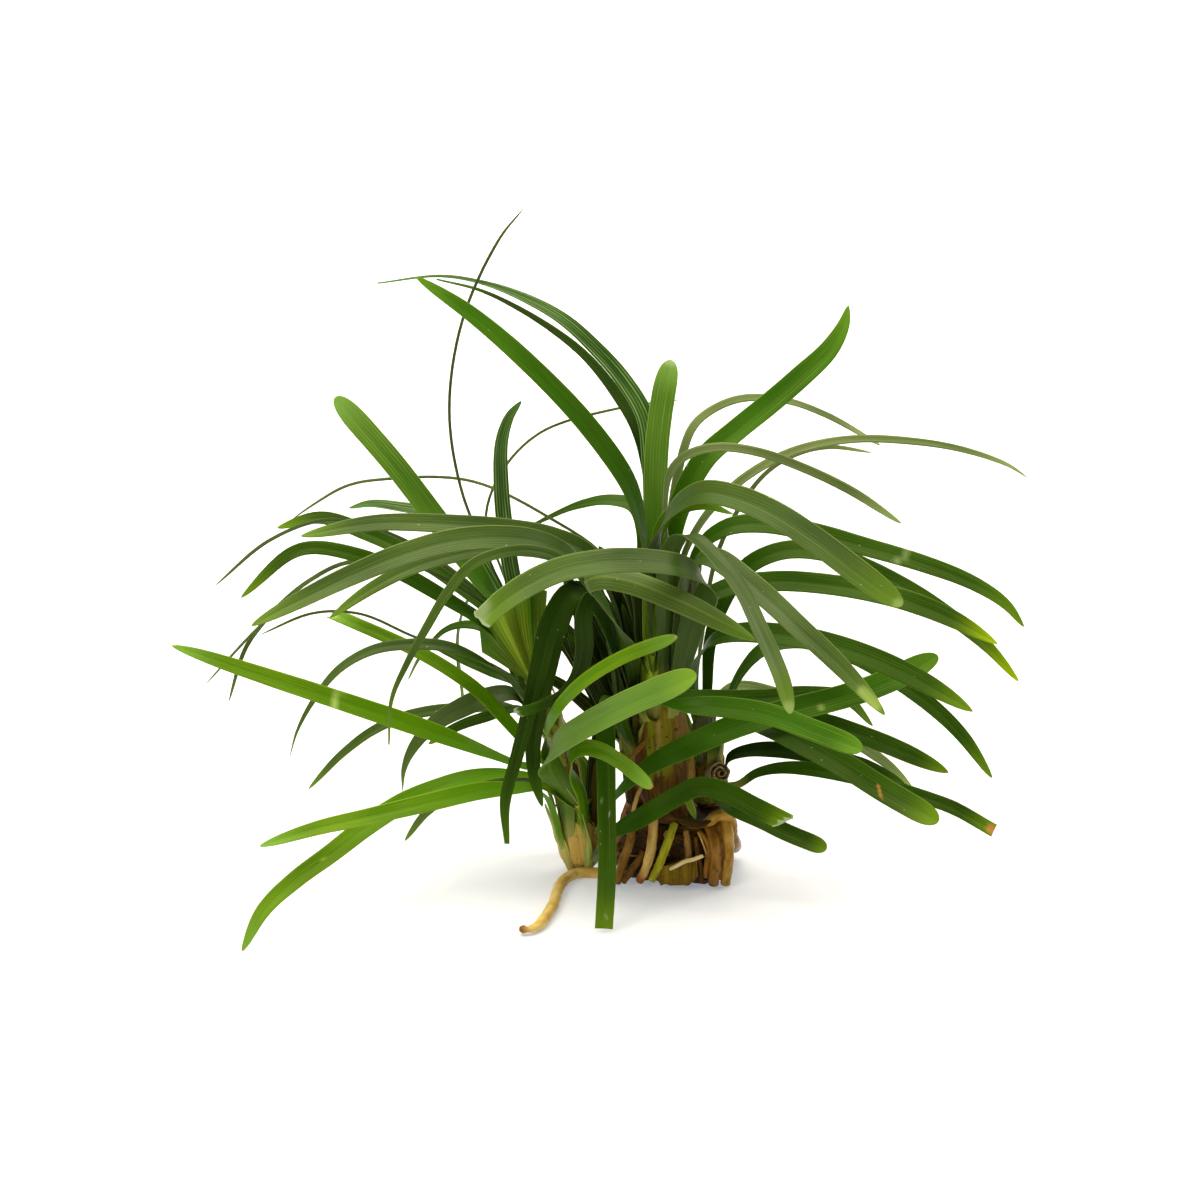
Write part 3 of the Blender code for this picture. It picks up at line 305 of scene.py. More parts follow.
WAXY_GLEAM = "#eaeecc"              # the bloom mirrors almost white
LEAF_FINISHES = {
    # name, then deep, lit, vein, under, tip and base
    "deep": leaf_finish("Mature leaf, deep green", "#153203", "#294909", "#567016", "#486018", "#5b7a10",
                        "#878539", low="#234502"),
    # shade: the deep leaf painted darker, a painted shade for leaves inside the clump
    "shade": leaf_finish("Leaf in painted shade, blackish green", "#0e2203", "#203a08", "#465c16", "#3a511c", "#3a5a10",
                         "#6b7627", vein_strength=0.4, sheen=0.1, low="#102802"),
    "waxy": leaf_finish("Mature leaf, waxy bloom", "#243f0a", "#3a5316", "#6b7a2e", "#4d5f28", "#5a781a",
                        "#7d7e2f", roughness=0.46, specks=0.5, sheen=0.4, gleam=WAXY_GLEAM, low="#273f07"),
    "bloom": leaf_finish("Young leaf, waxy bloom", "#3a5c10", "#4f7422", "#83963e", "#5c7c30", "#64861e",
                         "#8f8f4a", roughness=0.46, sheen=0.4, gleam=WAXY_GLEAM, low="#46640e"),
    "lush": leaf_finish("Grown young leaf, rich green", "#234c04", "#35640c", "#6e8c22", "#4d7020",
                        "#5a8420", "#8f8f3a", specks=0.3, low="#264c02"),
    "fresh": leaf_finish("Young leaf, yellow-green", "#3d6403", "#587d0c", "#93a42c", "#607d1c", "#709a34",
                         "#b5a75c", vein_strength=0.26, specks=0.1, low="#467402"),
    "striped": leaf_finish("Mature leaf, pale veins", "#173a06", "#2b5012", "#7d9a58", "#486024", "#4a6e2a",
                           "#7d7e2f", vein_strength=0.8, sheen=0.3, gleam=WAXY_GLEAM),
    # backlit: a leaf painted lighter, a painted glow of light shining through it from behind
    "backlit": leaf_finish("Leaf with painted backlight, light green", "#3c660e", "#597f23", "#98b45a", "#6f8a40", "#7aa246",
                           "#b4a962", specks=0.12, low="#34600a"),
    "yellow_tip": leaf_finish("Mature leaf, yellowing tip", "#193504", "#2d4b0c", "#58701c", "#49601c",
                              "#88a400", "#878539", tip_from=0.87, low="#234502"),
    "thread": leaf_finish("Thread leaf, grey green", "#435628", "#606e3e", "#8a9462", "#6c7a50", "#7f9254",
                          "#848a50", specks=0.0),
    "hair": leaf_finish("Finest leaf, dull green", "#2c3d18", "#425428", "#7a8655", "#4f5e34", "#53662f",
                        "#5c6634", specks=0.0),
}
print(len(LEAF_FINISHES), "leaf finishes")

# %% [markdown]
# ## Smooth lines
#
# A leaf is grown along its midrib. The midrib is a smooth curve through a few points, and the points of the
# fine mesh are taken from it closer together near the tip, where the outline turns quickest. The same curve
# carries a small cross of directions: along, across and up from the blade. It is carried from point to
# point without twist, and the blade then leans over towards its side of the clump, as the solids do.

# %% Curves and the cross of directions
CURVE_STEPS = 12                    # points between two given ones, before they are spaced out evenly
TIP_CROWDING = 1.5                  # how much closer the points are near the tip
SHORT = 1e-6                        # keeps a length from being nought
MOST_TWIST = math.radians(115)
TWIST_START, TWIST_END = 0.05, 0.5


def smoothstep(low, high, value):
    """Nought below low, one above high, and smooth between."""
    share = min(max((value - low) / (high - low), 0.0), 1.0)
    return share * share * (3 - 2 * share)


def crowded_shares(steps):
    """Shares of a leaf's length from nought to one, closer together near the tip."""
    return [1 - (1 - step / steps) ** TIP_CROWDING for step in range(steps + 1)]


def smooth_path(points, shares):
    """Points at shares of the length of a smooth curve through the given ones, and its length."""
    ends = [points[0] * 2 - points[1]] + points + [points[-1] * 2 - points[-2]]
    dense = [points[0]]
    for before, start, stop, after in zip(ends, ends[1:], ends[2:], ends[3:]):
        first, second, third = (max((b - a).length ** 0.5, SHORT)
                                for a, b in ((before, start), (start, stop), (stop, after)))
        leave = (start - before) / first - (stop - before) / (first + second)
        leave = leave * second + (stop - start)
        reach = (after - stop) / third - (after - start) / (second + third)
        reach = reach * second + (stop - start)
        for step in range(1, CURVE_STEPS + 1):
            t = step / CURVE_STEPS
            dense.append(start * (2 * t**3 - 3 * t**2 + 1) + leave * (t**3 - 2 * t**2 + t)
                         + stop * (3 * t**2 - 2 * t**3) + reach * (t**3 - t**2))
    places = np.array([list(point) for point in dense])
    lengths = np.concatenate([[0.0], np.cumsum(np.linalg.norm(np.diff(places, axis=0), axis=1))])
    wanted = np.array(shares) * lengths[-1]
    spread = np.stack([np.interp(wanted, lengths, places[:, axis]) for axis in range(3)], axis=1)
    return [Vector(place) for place in spread], lengths[-1]


def path_directions(path):
    """The direction of travel at each point of a path."""
    last = len(path) - 1
    return [(path[min(i + 1, last)] - path[max(i - 1, 0)]).normalized() for i in range(last + 1)]


def square_to(vector, direction):
    """The part of a vector that is square to a direction."""
    return (vector - direction * vector.dot(direction)).normalized()


def carried_faces(path, first_face):
    """A direction square to the path at each point, carried along it without twist."""
    directions = path_directions(path)
    faces = [square_to(first_face, directions[0])]
    for a, b in zip(directions, directions[1:]):
        faces.append(square_to(a.rotation_difference(b) @ faces[-1], b))
    return directions, faces


def blade_crosses(path, shares, first_face, facing):
    """For each point of a midrib: the point, the way its upper face looks, and the way across the blade."""
    directions, faces = carried_faces(path, first_face)
    twist = 0.0
    if facing is not None:
        middle = min(range(len(shares)), key=lambda i: abs(shares[i] - 0.5))
        wanted = square_to(facing, directions[middle])
        across = directions[middle].cross(faces[middle])
        twist = math.atan2(wanted.dot(across), wanted.dot(faces[middle]))
        twist = min(max(twist, -MOST_TWIST), MOST_TWIST)
    crosses = []
    for point, share, direction, face in zip(path, shares, directions, faces):
        face = Quaternion(direction, twist * smoothstep(TWIST_START, TWIST_END, share)) @ face
        crosses.append((point, face, direction.cross(face)))
    return crosses


print("a leaf of 8 steps has its points at", [round(share, 2) for share in crowded_shares(8)])

# %% [markdown]
# ## Skins
#
# Every tissue here is a closed skin over rings of points: a leaf's ring is a thin, folded, ribbed section,
# a root's ring is a lumpy circle. One function joins the rings with faces and closes both ends, and another
# makes one named piece out of one or many skins and stores the painting numbers on it.

# %% Rings into skins, skins into pieces
def ring_skin(rings, mm, share, marks=None):
    """A closed skin over rings of equally many points, with the painting numbers of each point."""
    count, around = len(rings), len(rings[0])
    points = np.array(rings, float).reshape(-1, 3)
    index = np.arange(count * around).reshape(count, around)
    following = np.roll(index, -1, axis=1)
    quads = np.stack([index[:-1], following[:-1], following[1:], index[1:]], axis=-1).reshape(-1, 4)
    faces = quads.tolist() + [index[0][::-1].tolist(), index[-1].tolist()]
    if marks is None:
        marks = np.zeros((len(points), 3))
    return points, faces, np.array(mm, float).reshape(-1, 3), np.array(share, float).reshape(-1, 3), marks


def make_piece(name, skins, finishes, slot, *nodes):
    """One named piece of the plant, of one or more skins. Finishes has one material, or one per skin."""
    mesh = bpy.data.meshes.new(name)
    points, faces, material_numbers, start = [], [], [], 0
    for number, (skin_points, skin_faces, *_) in enumerate(skins):
        points.append(skin_points)
        faces.extend([[corner + start for corner in face] for face in skin_faces])
        material_numbers.extend([min(number, len(finishes) - 1)] * len(skin_faces))
        start += len(skin_points)
    mesh.from_pydata((np.concatenate(points) * MM).tolist(), [], faces)
    for title, column in (("blade_mm", 2), ("blade_share", 3), ("blade_marks", 4)):
        values = np.concatenate([skin[column] for skin in skins]).astype(np.float32)
        mesh.attributes.new(title, "FLOAT_VECTOR", "POINT").data.foreach_set("vector", values.ravel())
    for finish in finishes:
        mesh.materials.append(finish)
    mesh.polygons.foreach_set("material_index", material_numbers)
    mesh.polygons.foreach_set("use_smooth", [len(face) == 4 for face in faces])
    mesh.validate()
    mesh.update()
    made = bpy.data.objects.new(name, mesh)
    bpy.context.scene.collection.objects.link(made)
    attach(made, "root")
    if nodes:
        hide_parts(*nodes)
    return made


print("skins are ready")

# %% [markdown]
# ## How a shoot is built
#
# The shoot has no real stem. What looks like one is the lower parts of its own leaves, each wrapped round
# the next. So each outer leaf here starts as a clasp: a curved sheet that hugs the shoot over more than
# half its way round, then narrows, lets go, and flattens into the blade. Inner leaves come out of the
# middle of the bundle.
#
# These are the places where leaves stand, in rings: how far outside the shoot's own radius and how far
# above its top.

# %% Shoots and the places on them
RINGS = {0: (-1.75, 0.4), 1: (-0.75, 0.4), 2: (0.6, -4.0), 3: (0.6, -9.0)}
SHOOT_STEPS = 48
SHOOTS = {}                         # each shoot's spine, as (x, y, z, radius)
SHOOT_LINES = {}


def shoot_line(shoot):
    """A shoot's smoothed middle line, with its direction and radius at each point, worked out once."""
    if shoot not in SHOOT_LINES:
        spine = SHOOTS[shoot]
        shares = [i / SHOOT_STEPS for i in range(SHOOT_STEPS + 1)]
        path, _ = smooth_path([Vector(stop[:3]) for stop in spine], shares)
        radii = np.interp([point.z for point in path], [stop[2] for stop in spine],
                          [stop[3] for stop in spine])
        SHOOT_LINES[shoot] = path, path_directions(path), [float(radius) for radius in radii]
    return SHOOT_LINES[shoot]


def shoot_at(shoot, height):
    """A shoot's middle at a height above its top (below when negative), its direction and its radius."""
    path, directions, radii = shoot_line(shoot)
    point = path[-1] + directions[-1] * height
    if height >= 0:
        return point, directions[-1], radii[-1]
    index = min(range(len(path)), key=lambda i: (path[i] - point).length)
    near, growing = path[index], directions[index]
    return near + growing * (point - near).dot(growing), growing, radii[index]


def place_round(shoot, height, degrees):
    """A shoot's middle at a height, the way out at an angle from above, its direction and its radius."""
    middle, growing, radius = shoot_at(shoot, height)
    angle = math.radians(degrees)
    return middle, square_to(Vector((math.cos(angle), math.sin(angle), 0)), growing), growing, radius


print("leaves stand in", len(RINGS), "rings")

# %% [markdown]
# ## One blade
#
# The section of a blade is a shallow channel: thick over the midrib, thinning to a fine margin, with a
# furrow above and a keel below. Between them the veins stand out as low ribs, mostly underneath. The mesh
# has one row of points on each rib and one in each furrow between, so the ribs are real. Their height is
# exaggerated a little, so that they show at this distance.
#
# The outline is different from leaf to leaf. Most run to a long or a rounded point; a few were cut straight
# or torn off, and then each row of points ends at its own place.

# %% The blade's section and outline
LEAF_THICKNESS = 0.34               # mm over the midrib
LEAF_FOLD = 0.08                    # how far the margins stand above the midrib, as a share of the width
FOLD_POWER = 1.8                    # above 1 the channel has a round bottom
BASE_SHARE = 0.46                   # the width where a leaf leaves its sheath, as a share of the widest
WIDEST_FROM = 0.4                   # share of the length from which it is at its widest
CUT_NARROWING = 0.12                # how much narrower a cut or torn leaf is at its end
TIPS = {
    # where the tip starts, how much narrower the blade gets first and with what power,
    # and the power and the bluntness of the end's rounding
    "long": (0.3, 0.0, 1, 1.7, 1.0),
    "pointed": (0.45, 0.32, 1.6, 8, 0.6),
    "rounded": (0.72, 0.0, 1, 3, 0.7),
    "blunt": (0.85, 0.0, 1, 4, 0.5),
    "thread": (0.86, 0.0, 1, 2, 0.5),
}
RIB_ABOVE, RIB_BELOW = 0.022, 0.045     # mm, height of the ribs
FURROW, KEEL = 0.05, 0.10           # mm
MIDRIB_REACH = 0.28                 # mm from the midrib over which the furrow and the keel fade
MARGIN_THINNING = 0.72              # how much thinner the margin is than the middle
RELIEF_GROWTH = 1.3                 # the relief is full where the width times this is the widest
LEAST_WIDTH = 0.03                  # mm, at the very tip
WAVE = 0.11                         # mm, the gentle waves of the margins
WAVE_LENGTH = 9.0                   # mm
GROUND_GAP = 0.25                   # mm under a leaf tip that lies on the ground
SOLID_THICKNESS = 0.46              # mm, the thickness of the plain leaf solids
BLADE_STEPS = 84
TEAR_LENGTH = 5.0                   # mm of a torn leaf over which the rows of points close up
FRONT = Vector((0, -0.72, 0.69))    # the way most blades turn their upper side
AS_GROWN = None                     # the facing of a blade that nothing turns


def blade_width(share, widest, tip):
    """The width of a blade at a share of its length. A tuple for a tip is the widths themselves."""
    if isinstance(tip, tuple):
        return float(np.interp(share * (len(tip) - 1), range(len(tip)), tip))
    width = widest * (BASE_SHARE + (1 - BASE_SHARE) * smoothstep(0.0, WIDEST_FROM, share))
    if tip not in TIPS:
        return width * (1 - CUT_NARROWING * share)
    start, narrowing, narrowing_power, end_power, bluntness = TIPS[tip]
    reach = max((share - start) / (1 - start), 0.0)
    return width * (1 - narrowing * reach ** narrowing_power) * (1 - reach ** end_power) ** bluntness


def section_across(widest):
    """Shares across the blade, from margin to margin: on each rib, and in each furrow between ribs."""
    ribs = max(3, round(widest / VEIN_SPACING))
    return np.linspace(-1, 1, 2 * ribs + 1)


def blade_section(across, width, widest, share, seed, wrap_radius, wrap):
    """A blade's section: how far across its points are, and how far up in the rows above and below.

    Wrap is one where the blade clasps its shoot, whose radius is wrap_radius, and nought where it is free.
    """
    half = width / 2
    angle = across * half / wrap_radius
    lateral = (1 - wrap) * across * half + wrap * wrap_radius * np.sin(angle)
    fold = LEAF_FOLD * width * np.abs(across) ** FOLD_POWER
    rise = (1 - wrap) * fold + wrap * wrap_radius * (1 - np.cos(angle))
    slim = min(0.6 + 0.4 * min(width / widest * 1.4, 1), max(width, 0.06) / LEAF_THICKNESS * 0.7)
    thick = LEAF_THICKNESS * slim * (1 - MARGIN_THINNING * np.abs(across) ** 3)
    inside = (1 - across ** 4) * min(width / widest * RELIEF_GROWTH, 1)
    ribs = np.where(np.arange(len(across)) % 2 == 0, -1.0, 1.0) * inside
    middle = np.exp(-((across * widest / 2) / MIDRIB_REACH) ** 2) * min(width / widest * RELIEF_GROWTH, 1)
    wave = np.array([noise.noise(Vector((seed * 3.1, share * 100 / WAVE_LENGTH, s * 0.8))) for s in across])
    shift = WAVE * wave * np.abs(across) * min(width / 2, 1.0)
    above = rise + shift + thick / 2 + RIB_ABOVE * ribs - FURROW * middle
    below = rise + shift - thick / 2 - RIB_BELOW * ribs - KEEL * middle
    return lateral, above, below


print("a leaf 4 mm wide has", len(section_across(4.0)), "rows of points on each side")


# %% Growing a blade along its midrib
TORN_EDGE = 0.7                     # mm of a torn end that has dried pale
TORN_PALENESS = 0.45
CLASP_SHARE = 0.15                  # the clasp's length for the paint, as a share of the blade's


def mark_paint(place, marks, torn):
    """How yellow, tan and whitish a point is. Each mark is a short line with a reach in mm."""
    paint = [0.0, 0.0, TORN_PALENESS * torn]
    if marks:
        across, up = seen_at(place)
        for (from_across, from_up), (to_across, to_up), reach, strength in marks:
            run, rise = to_across - from_across, to_up - from_up
            along = (across - from_across) * run + (up - from_up) * rise
            along = min(max(along / max(run * run + rise * rise, SHORT), 0.0), 1.0)
            distance = math.hypot(across - from_across - along * run, up - from_up - along * rise)
            here = 1 - smoothstep(reach * 0.25, reach, distance)
            paint = [max(old, here * new) for old, new in zip(paint, strength)]
    return paint


def grow_blade(path, shares, length, first_face, facing, widest, tip, seed, clasp=(), wrap_radius=1.0,
               tear=None, marks=(), free_from=0.12):
    """The skin of one blade. Clasp has the crosses and widths of the part that hugs the shoot, if any."""
    across = section_across(widest)
    crosses = blade_crosses(path, shares, first_face, facing)
    stations = [(*cross, width, 1.0, -CLASP_SHARE * (1 - i / len(clasp)))
                for i, (cross, width) in enumerate(clasp)]
    for cross, share in zip(crosses, shares):
        wrap = (1 - smoothstep(0.0, free_from, share)) if clasp else 0.0
        width = max(blade_width(share, widest, tip), LEAST_WIDTH)
        stations.append((*cross, width, wrap, share))
    directions = path_directions([station[0] for station in stations])
    back = np.zeros(len(across))
    if tear is not None:
        places, amounts = zip(*tear)
        back = np.interp(across, places, amounts)
    rings, mm, share_values, mark_values = [], [], [], []
    for (point, face, side, width, wrap, share), direction in zip(stations, directions):
        lateral, above, below = blade_section(across, width, widest, share, seed, wrap_radius, wrap)
        pulled = smoothstep(1 - TEAR_LENGTH / length, 1.0, share) * back
        torn = smoothstep(1 - TORN_EDGE / length, 1.0, share) if tear is not None else 0.0
        ring = []
        for row in range(2 * len(across)):
            column = row if row < len(across) else 2 * len(across) - 1 - row
            up = above[column] if row < len(across) else below[column]
            place = point + side * float(lateral[column]) + face * float(up)
            place -= direction * float(pulled[column])
            ring.append(tuple(place))
            lower = 0.0 if row < len(across) else 1.0
            mm.append((across[column] * widest / 2, share * length, seed))
            share_values.append((across[column], share, lower))
            mark_values.append(mark_paint(place, marks, torn))
        rings.append(ring)
    return ring_skin(rings, mm, share_values, np.array(mark_values))


print("blades have", BLADE_STEPS, "rings")

# %% [markdown]
# The clasp is a short stack of such sections that follow the shoot down from the place where the leaf
# stands. It widens downwards until it wraps more than half of the shoot.

# %% A leaf with its clasp
CLASP_STEPS = 10
CLASP_LENGTHS = {0: 2.0, 1: 2.0, 2: 5.5, 3: 6.0}
GROWN_STEM = 27.0                   # mm; a shorter stem has shorter clasps
CLASP_WRAP = 3.3                    # the clasp's widest, in radii of the shoot
STEM_FOOT = 0.6                     # mm; no clasp comes closer to the stem's foot
LEAST_STAND = 0.6                   # mm from the shoot's middle line to a leaf's base
CLASP_SINK = 0.35                   # mm that the foot of an outer clasp sinks in


def leaf_route(base, route):
    """The midrib's points: its base, then its route. A last point with no depth is on the ground."""
    stops = [base]
    for stop in route:
        ground = GROUND_GAP + SOLID_THICKNESS
        stops.append(sighted(*stop) if len(stop) == 3 else sighted_on_ground(*stop, ground))
    return stops


def leaf_skin(shoot, widest, tip, place, route, seed, tear=None, marks=(), facing=FRONT):
    """One leaf that stands on a ring of its shoot, with the clasp below it."""
    ring, degrees = place
    beyond, height = RINGS[ring]
    middle, outward, growing, radius = place_round(shoot, height, degrees)
    stand = max(radius + beyond, LEAST_STAND)
    shares = crowded_shares(BLADE_STEPS)
    path, length = smooth_path(leaf_route(middle + outward * stand, route), shares)
    first_width = blade_width(0.0, widest, tip)
    stem_height = SHOOTS[shoot][-1][2] - SHOOTS[shoot][0][2]
    clasp_length = CLASP_LENGTHS[ring] * min(1, stem_height / GROWN_STEM)
    clasp_length = min(clasp_length, height + stem_height - STEM_FOOT)
    clasp = []
    for step in range(CLASP_STEPS):
        t = step / CLASP_STEPS
        lower_middle, lower_out, lower_growing, lower_radius = place_round(
            shoot, height - clasp_length * (1 - t), degrees)
        sink = CLASP_SINK * (1 - t) if ring > 1 else 0.0
        lower_stand = max(lower_radius + beyond, LEAST_STAND) - sink
        grown = CLASP_WRAP * lower_stand if ring > 1 else first_width
        width = grown + (first_width - grown) * smoothstep(0.0, 1.1, t)
        cross = (lower_middle + lower_out * lower_stand, -lower_out, lower_growing.cross(-lower_out))
        clasp.append((cross, width))
    return grow_blade(path, shares, length, -outward, facing, widest, tip, seed, clasp, stand, tear, marks)


print("clasps are", CLASP_LENGTHS[2], "to", CLASP_LENGTHS[3], "mm long on outer leaves")

# %% [markdown]
# Young leaves that have only just pushed out of the bundle, and dry strips of old ones, start inside the
# shoot and need no clasp. They are threads of a millimetre or so, or short strips.

# %% A small leaf from inside the bundle
INSIDE = 0.2                        # where it starts, as a share of the shoot's radius from its middle
SMALL_STEPS = 64


def small_leaf_skin(shoot, widest, tip, place, route, seed, facing=FRONT):
    """A thread, strip or sheath that starts inside its shoot."""
    height, degrees = place
    middle, outward, _, radius = place_round(shoot, height, degrees)
    shares = crowded_shares(SMALL_STEPS)
    path, length = smooth_path(leaf_route(middle + outward * (radius * INSIDE), route), shares)
    return grow_blade(path, shares, length, -outward, facing, widest, tip, seed)


def ribbon_skin(route, widths, seed):
    """A strip through given places, with its widths at even shares of its length."""
    shares = [step / SMALL_STEPS for step in range(SMALL_STEPS + 1)]
    path, length = smooth_path([sighted(*stop) for stop in route], shares)
    return grow_blade(path, shares, length, -TOWARD, FRONT, max(widths), widths, seed)


print("small leaves have", SMALL_STEPS, "rings")

# %% [markdown]
# ## Stems of wrapped sheaths
#
# Under the fan of leaves the shoot shows its oldest sheaths: dry, brown and papery on a grown shoot, tan
# and smooth on the bulb of a young one, green and striped where the leaf above is still alive. The core is
# a ribbed, slightly uneven rod on the line of its solid. Over it lie loose sheaths, each wrapped part of
# the way round, a little proud of what is under it, with an uneven upper edge that opens away from the
# stem.

# %% The core of a stem
STEM_SIDES = 72
STEM_RIBS = 26                      # fibre bundles round the stem
STEM_RIB = 0.10                     # mm
STEM_UNEVENNESS = 0.22              # mm
STEM_CREASE = 0.12                  # mm
STEM_TOP_STEPS = 5
STEM_TOP_RISE = 0.25                # mm, the height of each of those steps


def stem_skin(shoot, seed):
    """The ribbed core of a shoot, closed at the top by a low cone under the leaf bases."""
    path, _, radii = shoot_line(shoot)
    directions, faces = carried_faces(path, Vector((1, 0, 0)))
    rings, mm, share_values = [], [], []
    climbed = 0.0
    for i, (point, radius, direction, face) in enumerate(zip(path, radii, directions, faces)):
        climbed += (point - path[max(i - 1, 0)]).length
        share = i / (len(path) - 1)
        side = direction.cross(face)
        ring = []
        for k in range(STEM_SIDES):
            angle = 2 * math.pi * k / STEM_SIDES
            out = face * math.cos(angle) + side * math.sin(angle)
            lump = noise.noise(Vector((math.cos(angle) * 1.3, math.sin(angle) * 1.3 + seed, climbed / 5)))
            crease = noise.noise(Vector((math.cos(angle) * 7, math.sin(angle) * 7 + seed, climbed / 12)))
            rib = STEM_RIB * math.sin(STEM_RIBS * angle + 2 * crease)
            grown = (radius - STEM_UNEVENNESS / 2 + STEM_UNEVENNESS * lump + rib * 0.5
                     + STEM_CREASE * crease)
            ring.append(tuple(point + out * grown))
            mm.append((angle * radius, climbed, seed))
            share_values.append((math.cos(angle), share, 0.0))
        rings.append(ring)
    for step in range(1, STEM_TOP_STEPS + 1):
        shrink = 1 - step / (STEM_TOP_STEPS + 1)
        middle = path[-1] + directions[-1] * (STEM_TOP_RISE * step)
        last = rings[len(path) - 1]
        rings.append([tuple(middle + (Vector(place) - path[-1]) * shrink) for place in last])
        for k in range(STEM_SIDES):
            around = 2 * math.pi * k / STEM_SIDES * radii[-1] * shrink
            mm.append((around, climbed + STEM_TOP_RISE * step, seed))
            share_values.append((0.0, 1.0, 0.0))
    return ring_skin(rings, mm, share_values)


print("a stem's core has", STEM_SIDES, "sides and", STEM_RIBS, "fibre bundles")


# %% Loose sheaths round a stem
SHEATH_ROWS = 36
SHEATH_COLUMNS = 41
SHEATH_THICKNESS = 0.16             # mm
SHEATH_RIB = 0.05                   # mm
SHEATH_WOBBLE = 0.25                # mm, at its upper edge
STREAKS = {}                        # each shoot's streaks: places to run through, width and paint


def streak_paint(shoot, point):
    """The paint of the shoot's streaks at a point: living green, dark brown and pale."""
    across, up = seen_at(point)
    paint = [0.0, 0.0, 0.0]
    for route, width, strength in STREAKS.get(shoot, ()):
        heights, places = [stop[1] for stop in route], [stop[0] for stop in route]
        beyond = max(heights[0] - up, up - heights[-1], 0.0)
        aside = abs(across - np.interp(up, heights, places)) + beyond * 0.5
        aside += 0.3 * width * noise.noise(Vector((across * 2, up * 0.5, width)))
        here = 1 - smoothstep(width * 0.3, width * 0.75, float(aside))
        paint = [max(old, here * new) for old, new in zip(paint, strength)]
    return paint


def sheath_skin(shoot, low, high, middle_degrees, span_degrees, stand, flare, ragged, seed, tilt=0.0):
    """A sheath wrapped round a shoot.

    Low and high are heights above the shoot's top, stand is how far it is off the stem, flare how much
    further its upper edge opens, ragged how uneven that edge is and tilt how much higher one end of it is,
    all in mm.
    """
    rings, mm, share_values, marks = [], [], [], []
    for row in range(SHEATH_ROWS + 1):
        t = row / SHEATH_ROWS
        outer, inner, outer_mm, outer_share, inner_share = [], [], [], [], []
        for column in range(SHEATH_COLUMNS):
            s = column / (SHEATH_COLUMNS - 1) * 2 - 1
            edge = noise.noise(Vector((s * 4.0, seed * 5.3, 0.5)))
            edge += 0.6 * noise.noise(Vector((s * 13, seed, 2.5)))
            top = high + ragged * edge - ragged * s * s + tilt * s
            height = low + (top - low) * t
            degrees = middle_degrees + s * span_degrees / 2 * (1 - 0.25 * t * t)
            middle, outward, _, radius = place_round(shoot, height, degrees)
            rib = SHEATH_RIB * math.sin(column * math.pi / 2)
            wobble = SHEATH_WOBBLE * noise.noise(Vector((s * 2.5, height / 4, seed))) * t
            away = radius + stand * min(1.0, 0.35 + 2 * t) + flare * t ** 3 + rib + wobble
            outer.append(tuple(middle + outward * away))
            inner.append(tuple(middle + outward * (away - SHEATH_THICKNESS)))
            outer_mm.append((s * radius * math.radians(span_degrees) / 2, height - low, seed))
            outer_share.append((s, t, 0.0))
            inner_share.append((s, t, 1.0))
            marks.append(streak_paint(shoot, middle + outward * away) if outward.y < 0 else (0.0, 0.0, 0.0))
        rings.append(outer + inner[::-1])
        marks.extend([(0.0, 0.0, 0.0)] * SHEATH_COLUMNS)
        mm.extend(outer_mm + outer_mm[::-1])
        share_values.extend(outer_share + inner_share[::-1])
    return ring_skin(rings, mm, share_values, np.array(marks))


print("a sheath has", SHEATH_ROWS, "rows of", SHEATH_COLUMNS, "points on each side")

# %% [markdown]
# ## Dry and living sheath tissue
#
# Dry sheath is what is left when the soft tissue has rotted: parallel fibres in a brown film, with
# yellow-green where some life is left, and dark specks of decay. It is dull and rough. Bulb tissue is
# fleshy and tan. The living sheaths are smooth and striped: green bands between pale veins, with a whitish,
# see-through margin, so they take the leaf finish with other colours.

# %% Finishes for sheaths
FIBRE_SPACING = 0.45                # mm between fibres of dry sheath
DECAY_SPACING = 1.1                 # mm between dark specks


def sheath_finish(name, dark, middle, light, green, green_amount, speckle, roughness=0.62, green_from=0.5):
    """Dry or fleshy sheath: three browns in streaks, green that comes in towards the top, dark specks."""
    made, shader, add = new_finish(name)
    _, along, _ = stored(add, "blade_share")
    living, dark_brown, pale = stored(add, "blade_marks")
    fibres = grain(add, FIBRE_SPACING, 9.0, 3.0)
    broad = grain(add, 2.6, 12.0, 2.0)
    mottle = grain(add, 1.4, 1.8, 4.0)
    flecks = grain(add, DECAY_SPACING * 0.45, DECAY_SPACING * 0.8, 2.0)
    upward = add("Math", broad, 0.6, along, operation="MULTIPLY_ADD")
    alive = add("Math", living, add("MapRange", fibres, 0.25, 0.6, **SMOOTH), operation="MULTIPLY")
    colour = layered(add, dark, [
        (add("MapRange", fibres, 0.3, 0.7, **SMOOTH), middle),
        (add("MapRange", broad, 0.45, 0.7, 0.0, 0.7, **SMOOTH), light),
        (add("MapRange", mottle, 0.5, 0.8, 0.0, 0.5, **SMOOTH), dark),
        (add("MapRange", upward, green_from, green_from + 0.5, 0.0, green_amount, **SMOOTH), green),
        (alive, green), (dark_brown, "#4a280a"), (pale, "#a89a5c"),
        (add("MapRange", flecks, 0.62, 0.72, 0.0, speckle, **SMOOTH), "#2a1508")])
    relief = add("Math", mottle, 0.6, fibres, operation="MULTIPLY_ADD")
    gloss = add("Math", mottle, 0.2, roughness - 0.1, operation="MULTIPLY_ADD")
    set_looks(shader, {
        "Base Color": colour, "Roughness": gloss, "Normal": add("Bump", 0.5, 0.12 * MM, None, relief),
        "Specular IOR Level": 0.2, "Specular Tint": "#f0d890"})
    return made


